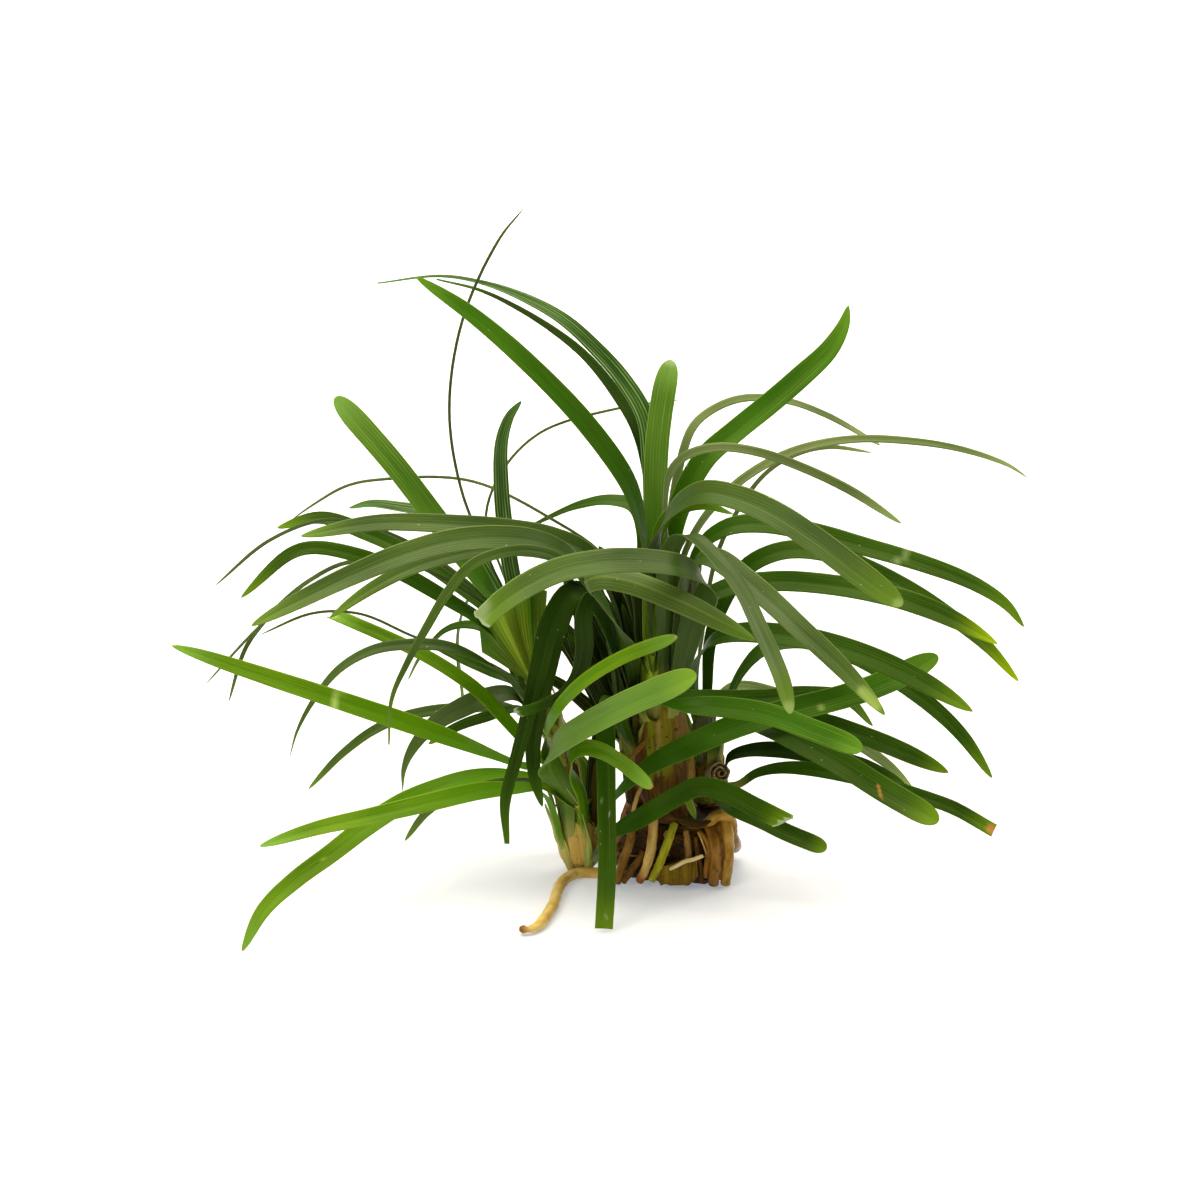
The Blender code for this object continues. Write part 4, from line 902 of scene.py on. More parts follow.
# name, then dark, middle, light and green, how much green and how many specks
PAPERY_BROWN = sheath_finish("Dry papery sheath, brown", "#331c08", "#5f4010", "#85661d", "#6f7412", 0.15,
                             0.95)
PAPERY_DARK = sheath_finish("Dry papery sheath, dark", "#1e0f04", "#452810", "#6e4a1f", "#46500f", 0.4, 0.7)
BULB_TAN = sheath_finish("Fleshy bulb scale, tan", "#b9974a", "#ceb062", "#dbc582", "#b7b454", 0.75, 0.35,
                         roughness=0.5, green_from=0.9)
RUST_SCALE = sheath_finish("Dry scale, rust brown", "#5a3206", "#86560e", "#ab7a20", "#8a7a1c", 0.15, 0.4)
# name, then deep, lit, vein, under, tip and base
PALE_SHEATH = leaf_finish("Living sheath, pale striped", "#7f8f1e", "#a5aa3e", "#cfc985", "#adaa69",
                          "#6d851a", "#b3a265", vein_strength=0.75, specks=0.0, tip_from=0.55, base_to=0.3)
GREEN_SHEATH = leaf_finish("Living sheath, green striped", "#325a04", "#567d0c", "#a5ac48", "#727e2f",
                           "#345e07", "#908539", vein_strength=0.65, specks=0.0)
FAN_SHEATH = leaf_finish("Unrolled sheath, yellow-green", "#274b02", "#456a05", "#a6ad30", "#5b7410",
                         "#2b5802", "#7b8c15", vein_strength=0.8, specks=0.0, tip_from=0.3)
# Dark strip: an inner leaf's dark green painted nearly black, a painted shade for the inside of the clump;
# its pale veins and margins are partly painted highlights.
DARK_STRIP = leaf_finish("Inner leaf, painted shade, nearly black green", "#081202", "#142605", "#6b7a40", "#2f4319",
                         "#2b4a08", "#5e6524", vein_strength=0.42, specks=0.0)
STALK = leaf_finish("Leaf stalk, pale yellow-green", "#66781a", "#87923a", "#b7bd78", "#96a055", "#67863a",
                    "#9a9448", vein_strength=0.6, specks=0.0)
GREY_STEM = leaf_finish("Rolled inner leaf, grey green", "#3f462c", "#5d6244", "#8b896b", "#6c6d50",
                        "#505832", "#837f5f", vein_strength=0.5, specks=0.0)
print("sheath finishes are ready")

# %% [markdown]
# ## Growing a whole shoot
#
# With the pieces above, a shoot is a list: its line, its leaves, its small leaves, its loose sheaths, and a
# finish for each. The function below makes one named piece of each leaf, in place of its solid, and one
# piece of the stem with its small leaves.

# %% Growing a shoot
MARKS = {}
TEARS = {}


def grow_leaves(shoot, slot, leaves):
    """The shoot's leaves, each in place of its solid."""
    for number, (finish, widest, tip, place, route, *facing) in enumerate(leaves, 1):
        name = f"{shoot}_leaf_{number:02d}"
        skin = leaf_skin(shoot, widest, tip, place, route, number + 20 * len(SHOOTS), TEARS.get(name),
                         MARKS.get(name, ()), *facing)
        make_piece(f"{name}_blade", [skin], [LEAF_FINISHES[finish]], slot, name)
    print(f"{shoot} shoot: {len(leaves)} leaves")


def grow_small_leaves(shoot, slot, small_leaves):
    """The shoot's threads, strips and living sheaths, as one piece for each."""
    for number, (title, finish, widest, tip, place, route, *facing) in enumerate(small_leaves, 1):
        skin = small_leaf_skin(shoot, widest, tip, place, route, number + 50 + 20 * len(SHOOTS), *facing)
        make_piece(f"{shoot}_{title}_{number:02d}", [skin], [finish], slot)
    print(f"{shoot} shoot: {len(small_leaves)} small leaves")


def grow_bundle(shoot, slot, strips):
    """Many strips that start inside a shoot, as one piece, each with its own finish."""
    seed = 80 + 20 * len(SHOOTS)
    skins = [small_leaf_skin(shoot, *strip, seed + number) for number, (_, *strip) in enumerate(strips)]
    make_piece(f"{shoot}_bundle", skins, [finish for finish, *_ in strips], slot)
    print(f"{shoot} shoot: a bundle of {len(strips)} strips")


def grow_ribbons(shoot, ribbons):
    """Sheaths and stalks that lie on a shoot, through given places."""
    for number, (title, finish, slot, widths, route) in enumerate(ribbons, 1):
        skin = ribbon_skin(route, widths, number + 7 * len(SHOOTS))
        make_piece(f"{shoot}_{title}", [skin], [finish], slot)
    print(f"{shoot} shoot: {len(ribbons)} ribbons")


def grow_stem(shoot, finish, slot, sheaths):
    """The shoot's core in place of its solid, and its loose sheaths."""
    seed = len(SHOOTS)
    make_piece(f"{shoot}_stem", [stem_skin(shoot, seed)], [finish], slot, f"{shoot}_crown")
    for number, (sheath_colour, *shape) in enumerate(sheaths, 1):
        make_piece(f"{shoot}_sheath_{number:02d}", [sheath_skin(shoot, *shape, seed + number / 7)],
                   [sheath_colour], slot)
    print(f"{shoot} shoot: a stem with {len(sheaths)} loose sheaths")


print("ready to grow the shoots")

# %% [markdown]
# ## The young shoot at the left
#
# This shoot is this year's. It rises from a tan bulb as wide as a pencil, with smooth, pale, striped
# sheaths on both sides that fan out to the upper left. Its leaves are the brightest of the clump,
# yellow-green and still soft: some dip to the ground at the left, some rise and come towards the camera.
# Two of them were damaged: the longest has a pale crease across it, and one on the right was torn off.

# %% The left shoot: line and leaves
SHOOTS["left"] = [(-17.1, -0.7, 0.5, 2.1), (-17.3, -0.8, 3.0, 3.0), (-17.9, -1.2, 7.5, 3.0),
                  (-18.5, -1.8, 11.6, 2.4)]
left_leaves = [
    # finish, widest, tip, (ring, degrees), route
    ("fresh", 3.8, "pointed", (1, 174), [(-24.2, 17.5, 1.3), (-28.5, 18.6, -1), (-35, 21.1, -4),
     (-45, 24.9, -8), (-65, 31.6, -15), (-76, 35.2, -18), (-91.7, 40.4, -24)]),
    ("fresh", 3.6, "pointed", (3, 225), [(-24.6, 13.9, -7), (-30, 14.3, -10), (-36, 13.8, -14),
     (-45, 11.8, -20), (-55, 9.4, -25), (-65, 7.2, -29), (-75.7, 3.9, -33)]),
    ("fresh", 3.9, "pointed", (2, 205), [(-24.3, 15.6, -4.2), (-30, 17, -5.5), (-36, 16.6, -8),
     (-43, 14.5, -12), (-50, 11.5, -16), (-56.5, 7.3, -21), (-63, 2.3, -26), (-69, -2.1, -31),
     (-75, -7.8, -36), (-78.9, -15.2)]),
    ("fresh", 2.7, "broken", (1, 115), [(-21.3, 17.5, 1.8), (-25, 20.3, 2.4), (-30.5, 26.4, 3),
     (-35.5, 31.7, 4), (-41, 35.8, 5), (-48, 39.8, 7), (-63.5, 46.7, 12)]),
    ("bloom", 5.4, "blunt", (2, 242), [(-20.2, 13.5, -7), (-22.4, 17.2, -11), (-23.2, 20.2, -16),
     (-21, 22.7, -21), (-15, 26.4, -28), (-8, 30, -34), (3.8, 34.9, -39)]),
    ("fresh", 2.7, "blunt", (1, 250), [(-20.8, 16.5, -5.2), (-23.4, 20.5, -9), (-23.4, 25, -14.5),
     (-20.6, 30, -20), (-16, 34.4, -23), (-9.5, 38.3, -25), (0.3, 42, -27)]),
    ("fresh", 3.0, "blunt", (2, 293), [(-17, 13, -7.6), (-19, 17.5, -11), (-18.8, 20.8, -15),
     (-16.5, 21.9, -19), (-12.5, 20.9, -24), (-8, 17.8, -28), (-4.2, 14.6, -31)]),
    ("lush", 4.6, "blunt", (2, 335), [(-12.8, 10.5, -8), (-9.3, 14.6, -11), (-4, 18.8, -12),
     (3, 22.3, -12.5), (11, 25.7, -12), (20, 28.4, -11), (30, 30.9, -10), (38, 33.6, -8.5),
     (47.7, 38.5, -7)]),
    ("deep", 4.0, "broken", (3, 310), [(-12.5, 5.6, -10.5), (-6.5, 8.9, -14), (-1, 12.2, -15),
     (4, 14.6, -15.5), (8.5, 13.9, -16), (14, 11.2, -17), (20.8, 7.8, -18)]),
]
MARKS.update({
    # the two ends of a mark, as seen from the front, its reach in mm, and how yellow, tan and whitish it is
    "left_leaf_01": [((-61.0, 32.6), (-62.4, 28.4), 0.75, (0.45, 0, 0.15)),
                     ((-46.6, 26.2), (-47.0, 24.6), 0.35, (0.35, 0, 0.1)),
                     ((-91.7, 40.4), (-91.4, 40.3), 0.4, (0, 0.6, 0))],
    "left_leaf_03": [((-64.0, 1.8), (-64.1, 1.6), 0.3, (0.6, 0, 0)),
                     ((-78.9, -15.2), (-78.8, -14.9), 0.5, (0, 0.6, 0))],
    "left_leaf_04": [((-63.5, 46.7), (-62.4, 46.2), 1.4, (0.5, 0, 0.2))],
    "left_leaf_06": [((0.3, 42.0), (0.0, 41.9), 0.5, (0, 0.5, 0.2))],
    "left_leaf_07": [((-4.3, 14.7), (-4.6, 14.9), 0.6, (0, 0.6, 0))],
    "left_leaf_08": [((26.4, 31.6), (26.4, 28.6), 0.24, (0.3, 0, 0.1))],
})
TEARS["left_leaf_04"] = [(-1, 0.3), (-0.2, 1.9), (0.2, 0.8), (1, 2.4)]
TEARS["left_leaf_09"] = [(-1, 0.2), (-0.55, 0.0), (-0.45, 1.5), (-0.1, 0.9), (0.1, 2.1), (0.5, 1.7),
                         (1, 2.6)]
grow_leaves("left", "young_leaf", left_leaves)

# %% The left shoot: small leaves and stem
left_small_leaves = [
    # title, finish, widest, tip, (height above the top, degrees), route
    ("outer_sheath", PALE_SHEATH, 1.5, "pointed", (-8.5, 195), [(-21.3, 4.5, -2), (-22.4, 8, -2.4),
     (-23.8, 11.7, -3)], AS_GROWN),
    ("small_leaf", LEAF_FINISHES["waxy"], 2.0, "pointed", (-2.5, 165), [(-23, 14.2, 3), (-30, 16.3, 3.5),
     (-38, 14.5, 2), (-45, 10.3, 1), (-49.3, 4.9, 0)]),
    ("thin_sheath", GREEN_SHEATH, 2.4, "pointed", (-2.5, 60), [(-16.2, 14, 2.5), (-16.4, 18.2, 3.5),
     (-18.6, 21.4, 4)]),
    ("striped_strip", DARK_STRIP, 2.8, "long", (-6.5, 50), [(-15.2, 13, 1.6), (-15, 18, 2.2),
     (-14.6, 24, 2.4), (-14, 29, 2.4)]),
    ("papery_strip", PAPERY_DARK, 1.8, "pointed", (-8, 10), [(-14.4, 9, 0.4), (-14.6, 14, 0.6),
     (-14.4, 19.5, 1)]),
]
grow_small_leaves("left", "young_leaf", left_small_leaves)
left_sheaths = [
    # finish, low, high, middle degrees, span, stand, flare, ragged, tilt
    (PALE_SHEATH, -2.8, 2.4, 215, 150, 0.2, 0.4, 0.8),
    (GREEN_SHEATH, -3.4, 1.6, 330, 130, 0.2, 0.3, 0.6),
    (BULB_TAN, -10.4, -0.9, 262, 200, 0.85, 0.15, 1.5),
    (BULB_TAN, -10.4, -2.2, 80, 190, 0.2, 0.2, 0.9),
]
left_ribbons = [
    # title, finish, slot, widths, route
    ("stalk", STALK, "young_leaf", (1.3, 1.6, 1.7, 1.9, 2.3, 2.0), [(-16, -0.3, -4.4), (-15.9, 3, -5.3),
     (-16.1, 6.5, -5.5), (-17.1, 11, -5.8), (-19.4, 14.8, -6.6), (-21.8, 17.6, -8.2)]),
    ("ribbed_sheath", GREEN_SHEATH, "young_leaf", (0.8, 2.2, 3.1, 3.1, 2.2), [(-16.9, 7, -5.2),
     (-17.6, 9.6, -5.4), (-19.6, 12.4, -5.9), (-22.8, 14.6, -6.6), (-25.5, 15.6, -7.4)]),
    ("side_sheath", PALE_SHEATH, "young_leaf", (1.1, 1.9, 1.9, 1.5, 0.8), [(-19.0, -0.6, -4.4),
     (-20.2, 3, -4.2), (-20.7, 7, -3.8), (-21.6, 12, -3), (-23, 15.8, -2.4)]),
    ("dry_flap", RUST_SCALE, "papery_sheath", (0.5, 2.0, 2.6), [(-18, 14.4, -1.2), (-19.4, 18.4, -1.4),
     (-20.2, 22.2, -1.4)]),
    ("thin_stalk", STALK, "young_leaf", (0.7, 0.9, 0.9, 0.6), [(-16.3, 9.6, -2.8), (-16.9, 13.8, -3),
     (-17.6, 18.9, -2.8), (-18.8, 21.8, -2.4)]),
]
grow_ribbons("left", left_ribbons)
grow_stem("left", BULB_TAN, "bulb", left_sheaths)

# %% [markdown]
# ## The slender shoot at the back
#
# Behind the young shoot a long, thin stem leans out to the left. Its top sheaths have unrolled into a
# broad, yellow-green fan with stripes in three directions. Out of it come a few broad leaves, and the
# finest threads of the plant: the one that stands up on its own is the tallest thing in the picture.

# %% The back shoot: line and leaves
SHOOTS["back"] = [(-13.8, 8.0, 1.8, 1.7), (-15.2, 8.5, 5.5, 1.7), (-18.4, 9.0, 13.7, 1.5),
                  (-22.5, 9.0, 24.4, 1.7), (-25.4, 9.0, 31.0, 2.6)]
back_leaves = [
    # finish, widest, tip, (ring, degrees), route
    ("backlit", 4.2, "blunt", (1, 214), [(-28.9, 42, 9), (-36.2, 53.3, 6.5), (-43.6, 63.3, 6),
     (-51.5, 73.6, 5), (-62, 85.6, 4)]),
    ("striped", 3.1, "pointed", (2, 5), [(-26.2, 42, 8.6), (-29.3, 51, 9.6), (-31, 61, 11), (-31.8, 70, 12),
     (-31.7, 77.5, 12), (-30.3, 82, 13), (-28.1, 84.9, 13)]),
    ("deep", 3.0, "pointed", (2, 228), [(-32.6, 41.5, 5.2), (-46.5, 51.7, 4), (-58, 56.8, 3),
     (-68.4, 57.8, 2), (-79.1, 49.1, 0)]),
    ("deep", 3.4, "pointed", (1, 156), [(-31, 43.5, 12.4), (-38, 50.4, 14), (-47, 56.6, 16),
     (-56.6, 61, 17.5), (-64.5, 63.6, 19), (-72.5, 61.8, 20)]),
    ("striped", 2.4, "pointed", (1, 105), [(-29.2, 43.5, 15), (-34, 53.5, 19.5), (-40, 61.2, 23),
     (-45.5, 64.6, 25), (-50.5, 65.7, 26.5), (-55.5, 66.2, 28), (-59.5, 65.4, 29)]),
    ("waxy", 2.6, "long", (3, 250), [(-30.5, 34.3, 2.6), (-36, 38, 1.5), (-42, 40.2, 0), (-48.4, 40.6, -1.5),
     (-55, 39.6, -3), (-61, 36.3, -5), (-65.5, 31, -7), (-68.8, 25, -8.5), (-70.5, 18.9, -9)]),
    ("waxy", 2.2, "pointed", (3, 140), [(-30.5, 29.3, 14), (-36, 29, 16.5), (-43, 28.7, 19),
     (-49.5, 27.4, 21), (-55, 24.9, 22), (-60.5, 20.8, 23), (-66.8, 14.3, 24)]),
    ("waxy", 4.4, "long", (3, 191), [(-29.5, 31.4, 7.4), (-35, 30.6, 6.5), (-40, 28.5, 6),
     (-44.3, 25.8, 5.5), (-47.6, 22, 5), (-49.4, 18, 5), (-49.7, 13.5, 5)]),
    ("waxy", 2.3, (1.6, 1.8, 2.1, 2.3, 2.3, 2.3, 2.2, 1.7), (2, 85), [(-28.6, 42, 18), (-33.5, 49.5, 25),
     (-37.5, 49, 30), (-39.6, 42.5, 32), (-38.7, 30.5, 33)]),
]
grow_leaves("back", "leaf", back_leaves)

# %% The back shoot: small leaves and stem
back_small_leaves = [
    # title, finish, widest, tip, (height above the top, degrees), route
    ("thread", LEAF_FINISHES["hair"], 0.55, "thread", (-0.6, 90), [(-27.5, 41.5, 11.4), (-33.9, 56, 14),
     (-39, 68.7, 16), (-41.2, 83.3, 18), (-38.8, 99.6, 20), (-32.2, 114.2, 22), (-27.6, 120, 23)]),
    ("thread", LEAF_FINISHES["hair"], 0.5, "thread", (-0.6, 60), [(-27, 42, 13), (-32, 55, 20),
     (-34.6, 63, 24), (-32, 71.5, 28), (-24.7, 79.1, 32), (-10.2, 83.6, 36), (0.7, 85.1, 39)]),
    ("thread", LEAF_FINISHES["hair"], 0.65, "thread", (-0.6, 90), [(-27.9, 42, 11), (-34.5, 49, 10),
     (-41.1, 54, 8.4), (-50.2, 60, 5), (-62.9, 63.3, 0), (-73.8, 59.6, -5), (-83.8, 51.3, -10)]),
    ("thread", LEAF_FINISHES["hair"], 0.8, "thread", (-0.6, 90), [(-27.9, 42, 11), (-34.5, 47.8, 9.6),
     (-42, 52.5, 8), (-50.2, 55.8, 7), (-60.2, 55.4, 4.5), (-66.5, 52.3, 1), (-71.1, 48.7, -2),
     (-75.3, 44.2, -5), (-78.4, 39.6, -8), (-81.3, 30.2, -11)]),
    ("thread", LEAF_FINISHES["hair"], 0.5, "thread", (-0.6, 90), [(-27.9, 41.4, 10.8), (-34.5, 45.6, 9.4),
     (-42, 50.2, 8), (-50, 53.4, 4), (-56, 53.8, 1), (-63, 52.2, -3), (-70.2, 48.4, -7), (-75.6, 44, -10),
     (-85.6, 33.3, -14)]),
    ("thread", LEAF_FINISHES["hair"], 0.5, "thread", (-3.6, 182), [(-30, 35, 9.2), (-36, 38.2, 7.4),
     (-42, 40.3, 5.5), (-47.5, 42, 4), (-57.5, 46.2, 1), (-66, 46.3, -1), (-75.6, 42.4, -3)]),
    ("small_leaf", LEAF_FINISHES["deep"], 2.4, "pointed", (-2.5, 160), [(-29.5, 33.8, 12), (-37.5, 37.5, 15),
     (-42.9, 40.1, 17), (-45.6, 41.2, 18)]),
    ("small_leaf", LEAF_FINISHES["deep"], 1.9, "pointed", (-6, 112), [(-28.2, 33, 15), (-31, 39.5, 18),
     (-35, 43.6, 21.5), (-41.1, 43.6, 26), (-46.5, 38.3, 29), (-48.7, 34.2, 30)]),
    ("small_leaf", LEAF_FINISHES["deep"], 2.2, "pointed", (-7, 168), [(-28.4, 28.8, 11), (-35, 27.3, 12),
     (-40, 25.5, 13), (-45, 22.5, 14)]),
]
grow_small_leaves("back", "leaf", back_small_leaves)
FAN_RAYS = [
    # the fan's folds, from where it unrolls to its edge, as seen from the front, and how yellow each is
    ([(-26.4, 33.2, 6.0), (-30.8, 36.4, 5.4), (-35.3, 39.2, 6.0)], 0.15),
    ([(-26.5, 34.0, 4.6), (-31.6, 40.4, 3.6), (-36.0, 46.4, 5.0)], 0.0),
    ([(-26.4, 34.4, 3.4), (-29.6, 41.6, 2.0), (-33.2, 50.0, 2.4)], 0.9),
    ([(-26.0, 34.8, 4.6), (-28.0, 42.0, 4.8), (-29.6, 51.0, 5.4)], 0.5),
    ([(-25.4, 34.8, 3.4), (-26.2, 42.6, 2.6), (-26.6, 51.2, 3.0)], 0.0),
    ([(-24.6, 34.2, 4.6), (-23.9, 42.0, 5.2), (-23.4, 50.4, 6.0)], 0.5),
]
FAN_STEPS, FAN_COLUMNS = 40, 45
FAN_WIDTH, FAN_THICKNESS = 10.5, 0.24       # mm
FAN_YELLOW = 0.55                   # how much of the yellow paint the yellowest fold has


def fan_skin(seed):
    """A sheath that has unrolled into a pleated fan."""
    shares = [step / FAN_STEPS for step in range(FAN_STEPS + 1)]
    rays = np.array([[list(point) for point in smooth_path([sighted(*stop) for stop in stops], shares)[0]]
                     for stops, _ in FAN_RAYS])
    yellows = [yellow for _, yellow in FAN_RAYS]
    columns = np.linspace(0, len(rays) - 1, FAN_COLUMNS)
    rings, mm, share_values, marks = [], [], [], []
    for step, share in enumerate(shares):
        edge = np.stack([np.interp(columns, range(len(rays)), rays[:, step, axis])
                         for axis in range(3)], axis=1)
        back = edge - np.array(TOWARD) * FAN_THICKNESS
        rings.append([tuple(place) for place in np.concatenate([edge, back[::-1]])])
        for column in [*range(FAN_COLUMNS), *reversed(range(FAN_COLUMNS))]:
            across = column / (FAN_COLUMNS - 1)
            mm.append((across * FAN_WIDTH, share * FAN_WIDTH, seed))
            share_values.append((across * 1.8 - 0.9, share, 0.0))
            yellow = FAN_YELLOW * float(np.interp(columns[column], range(len(rays)), yellows))
            marks.append((yellow, 0.0, 0.0))
    return ring_skin(rings, mm, share_values, np.array(marks))


make_piece("back_pleated_fan", [fan_skin(4.0)], [FAN_SHEATH], "green_sheath")
print("the fan has", len(FAN_RAYS), "folds")
back_sheaths = [
    (GREEN_SHEATH, -12, 2.5, 250, 190, 0.2, 0.7, 1.2),
    (GREEN_SHEATH, -18, -3.0, 60, 200, 0.25, 0.4, 1.0),
    (PAPERY_BROWN, -29, -15.0, 290, 220, 0.25, 0.5, 1.4),
]
grow_stem("back", GREEN_SHEATH, "green_sheath", back_sheaths)

# %% [markdown]
# ## The dark shoot in the middle
#
# Between the others stands an old shoot, in the shade of the rest. Several of its leaves are painted
# nearly black-green, their green darkened by painted shade. Two hang straight down in front, one is
# snapped, and a bundle of dark strips rises behind them.

# %% The inner shoot: line and leaves
SHOOTS["inner"] = [(-6.8, 3.0, 11.8, 2.2), (-7.2, 3.0, 20.0, 2.3), (-8.0, 2.2, 31.5, 2.0)]
inner_leaves = [
    # finish, widest, tip, (ring, degrees), route
    ("waxy", 4.6, "pointed", (1, 201), [(-11.4, 42, -1.4), (-14.8, 50.5, -4.4), (-19, 56.4, -9.8),
     (-25, 59.2, -15), (-32, 60, -19), (-41, 59.3, -23), (-50.2, 56.7, -27), (-59.5, 52.9, -30),
     (-68.4, 48.6, -33), (-77.2, 44, -36)]),
    ("waxy", 4, "pointed", (1, 120), [(-9.3, 42, 5.5), (-11.6, 51, 7), (-16, 57, 7), (-22.5, 60.1, 5),
     (-32, 61.7, 2), (-44.7, 62.6, -1), (-55, 62.6, -4), (-68.2, 60.3, -6)]),
    ("waxy", 3.2, "pointed", (2, 154), [(-11.2, 42, 4.2), (-16, 51.5, 4), (-22, 56.8, 0), (-32, 58, -5),
     (-46.5, 55.1, -13), (-55, 51, -17), (-62.9, 45.5, -19)]),
    ("waxy", 2.8, (1.6, 2.3, 2.7, 2.6, 2.3, 2.1, 1.9, 1.8, 1.5, 0.9, 0.3), (3, 198), [(-12.8, 43, -9),
     (-17, 52.5, -16.8), (-23, 57, -22), (-30, 57.6, -27), (-37, 55.2, -31), (-41.6, 50, -34),
     (-45.3, 43.8, -36), (-48.8, 37.4, -38), (-51.7, 30.6, -40), (-52.2, 22.4, -42)]),
    ("shade", 3.8, (1.8, 2.6, 3.6, 4.0, 4.2, 4.0, 3.5, 2.8, 2.4, 2.1, 0.9), (2, 239), [(-11.4, 42, -4.7),
     (-15, 49.3, -8.4), (-19, 50, -11), (-22.7, 44.5, -12.5), (-24.9, 36, -13.5), (-26.8, 28, -14.5),
     (-28.8, 20.5, -16), (-31, 12, -18.5), (-30.7, 4.4, -20)]),
    ("shade", 4.2, "broken", (3, 233), [(-10.8, 39, -9.5), (-12.6, 45.5, -15), (-15.4, 49, -17.5),
     (-16.9, 46, -18.5), (-16.8, 40, -18), (-17.8, 35.6, -17), (-20.3, 32.2, -16), (-24.5, 29.8, -16.5),
     (-29.6, 28.2, -17.5)]),
    ("shade", 3.6, "pointed", (2, 191), [(-12, 42, 1.6), (-15.2, 49, 0.8), (-18.5, 49.8, -1),
     (-21.3, 44, -3.4), (-23.1, 37, -5.4), (-24.7, 30, -7.4), (-25.9, 23, -9.5), (-25.7, 17, -11),
     (-24.3, 11.1, -12)]),
    ("deep", 3.6, "cut", (3, 272), [(-9.8, 26, -6.5), (-11.4, 31, -11.5), (-12.6, 28.5, -15),
     (-12.7, 20, -18), (-12.6, 10, -21.5), (-12.5, 0, -26.5), (-13.1, -11)]),
    ("deep", 3.4, "pointed", (2, 277), [(-6.4, 32.8, -5.8), (-2, 31.3, -9.4), (4.4, 30.8, -10),
     (15.3, 30.8, -8.4), (24, 31.6, -5), (30.5, 30.9, -3), (35.8, 25.8, -1)]),
    ("waxy", 4.2, "rounded", (1, 299), [(-8.2, 38, -8.8), (-11, 44.5, -18), (-15, 50.2, -23),
     (-16.4, 51.8, -24.5), (-13.5, 52.8, -26), (-8, 51.9, -27), (0, 48.8, -28), (7, 45.4, -29),
     (14.5, 41.3, -30)]),
]
MARKS.update({
    "inner_leaf_06": [((-29.6, 28.2), (-29.2, 27.4), 1.2, (0, 0, 0.7))],
    "inner_leaf_08": [((-13.5, 12.3), (-13.2, 12.6), 0.28, (0, 0, 0.25)),
                      ((-12.1, 9.9), (-12.1, 9.3), 0.16, (0, 0, 0.45)),
                      ((-12.9, -8.6), (-12.5, -9.2), 0.3, (0, 0, 0.2))],
})
TEARS["inner_leaf_06"] = [(-1, 1.4), (-0.4, 0.5), (0.1, 0.9), (0.5, 0.1), (1, 0.5)]
grow_leaves("inner", "leaf", inner_leaves)

# %% The inner shoot: small leaves and stem
inner_small_leaves = [
    # title, finish, widest, tip, (height above the top, degrees), route
    ("thread", LEAF_FINISHES["hair"], 0.55, "thread", (-1.6, 60), [(-8.2, 45, 9.4), (-12.5, 56, 13),
     (-22.9, 63.6, 16), (-37.5, 70.4, 20), (-53.8, 70.6, 17), (-60, 69.4, 15.5), (-66, 66, 14),
     (-70, 63.2, 13)]),
    ("dark_strip", DARK_STRIP, 3.6, "pointed", (-12, 150), [(-11.6, 26, 5), (-14.6, 36, 6), (-16.8, 44, 6.5),
     (-18.6, 51, 7)]),
    ("dark_strip", DARK_STRIP, 3.4, "pointed", (-5, 120), [(-10.6, 33, 8), (-12.6, 44, 10),
     (-15.5, 52, 11.5), (-19, 57, 12)]),
    ("dark_strip", DARK_STRIP, 3.0, "pointed", (-5, 80), [(-7.4, 33, 8), (-8.2, 44, 10), (-10.5, 53, 12),
     (-14, 58.5, 13)]),
]
grow_small_leaves("inner", "leaf", inner_small_leaves)
inner_strips = [
    # finish, widest, tip, (height above the top, degrees), route
    (DARK_STRIP, 2.8, "pointed", (-7, 300), [(-9.1, 36, -1.5), (-10.9, 41.2, -2.5), (-13.3, 46.8, -5),
     (-16, 50.2, -7), (-20, 53, -10)]),
    (DARK_STRIP, 2.1, "pointed", (-8, 340), [(-7.6, 36, 0.5), (-8.4, 41.2, 0.5), (-9.5, 46.8, 0.5),
     (-11.5, 51.4, 0), (-15, 55, -1)]),
    (DARK_STRIP, 2.2, "long", (-9, 350), [(-5.6, 35, 1.5), (-5.9, 41.2, 2), (-6.6, 46.8, 2.5),
     (-8.5, 51.6, 3), (-12.5, 56, 4)]),
    (DARK_STRIP, 4.2, "pointed", (-10, 200), [(-12.6, 30, 3), (-16.2, 36.5, 3), (-19.6, 42, 4),
     (-23.6, 46.5, 6)]),
    (DARK_STRIP, 4.2, "pointed", (-10, 160), [(-11.8, 27, 5), (-15.2, 34, 6.5), (-19.4, 40.5, 8),
     (-24, 45, 9)]),
    (DARK_STRIP, 3.4, "pointed", (-8, 100), [(-10, 33, 6), (-14.2, 41, 8), (-17.4, 47.6, 10),
     (-20.4, 52.6, 11)]),
    (DARK_STRIP, 3.0, "pointed", (-9, 230), [(-11.6, 27, -0.5), (-14.6, 33, -2), (-17.2, 38, -3),
     (-19.6, 42.5, -4)]),
    (DARK_STRIP, 2.6, "pointed", (-10, 215), [(-12.2, 25, 0.5), (-16.2, 29.5, 0), (-20.5, 33, 0),
     (-25, 35.6, 0)]),
    (GREY_STEM, 1.2, "long", (-8, 285), [(-8.8, 33, -2.5), (-10.6, 38.4, -4), (-12.8, 43, -5),
     (-14.6, 46, -6)]),
]
grow_bundle("inner", "leaf", inner_strips)
inner_sheaths = [
    (DARK_STRIP, -10, 6.0, 250, 200, 0.25, 0.8, 1.5),
    (DARK_STRIP, -8, 4.0, 60, 200, 0.2, 0.8, 1.5),
    (PAPERY_DARK, -19, -7.0, 280, 230, 0.3, 0.6, 1.6),
    (PAPERY_DARK, -19.5, -9.0, 100, 220, 0.2, 0.5, 1.6),
]
grow_stem("inner", PAPERY_DARK, "papery_sheath", inner_sheaths)

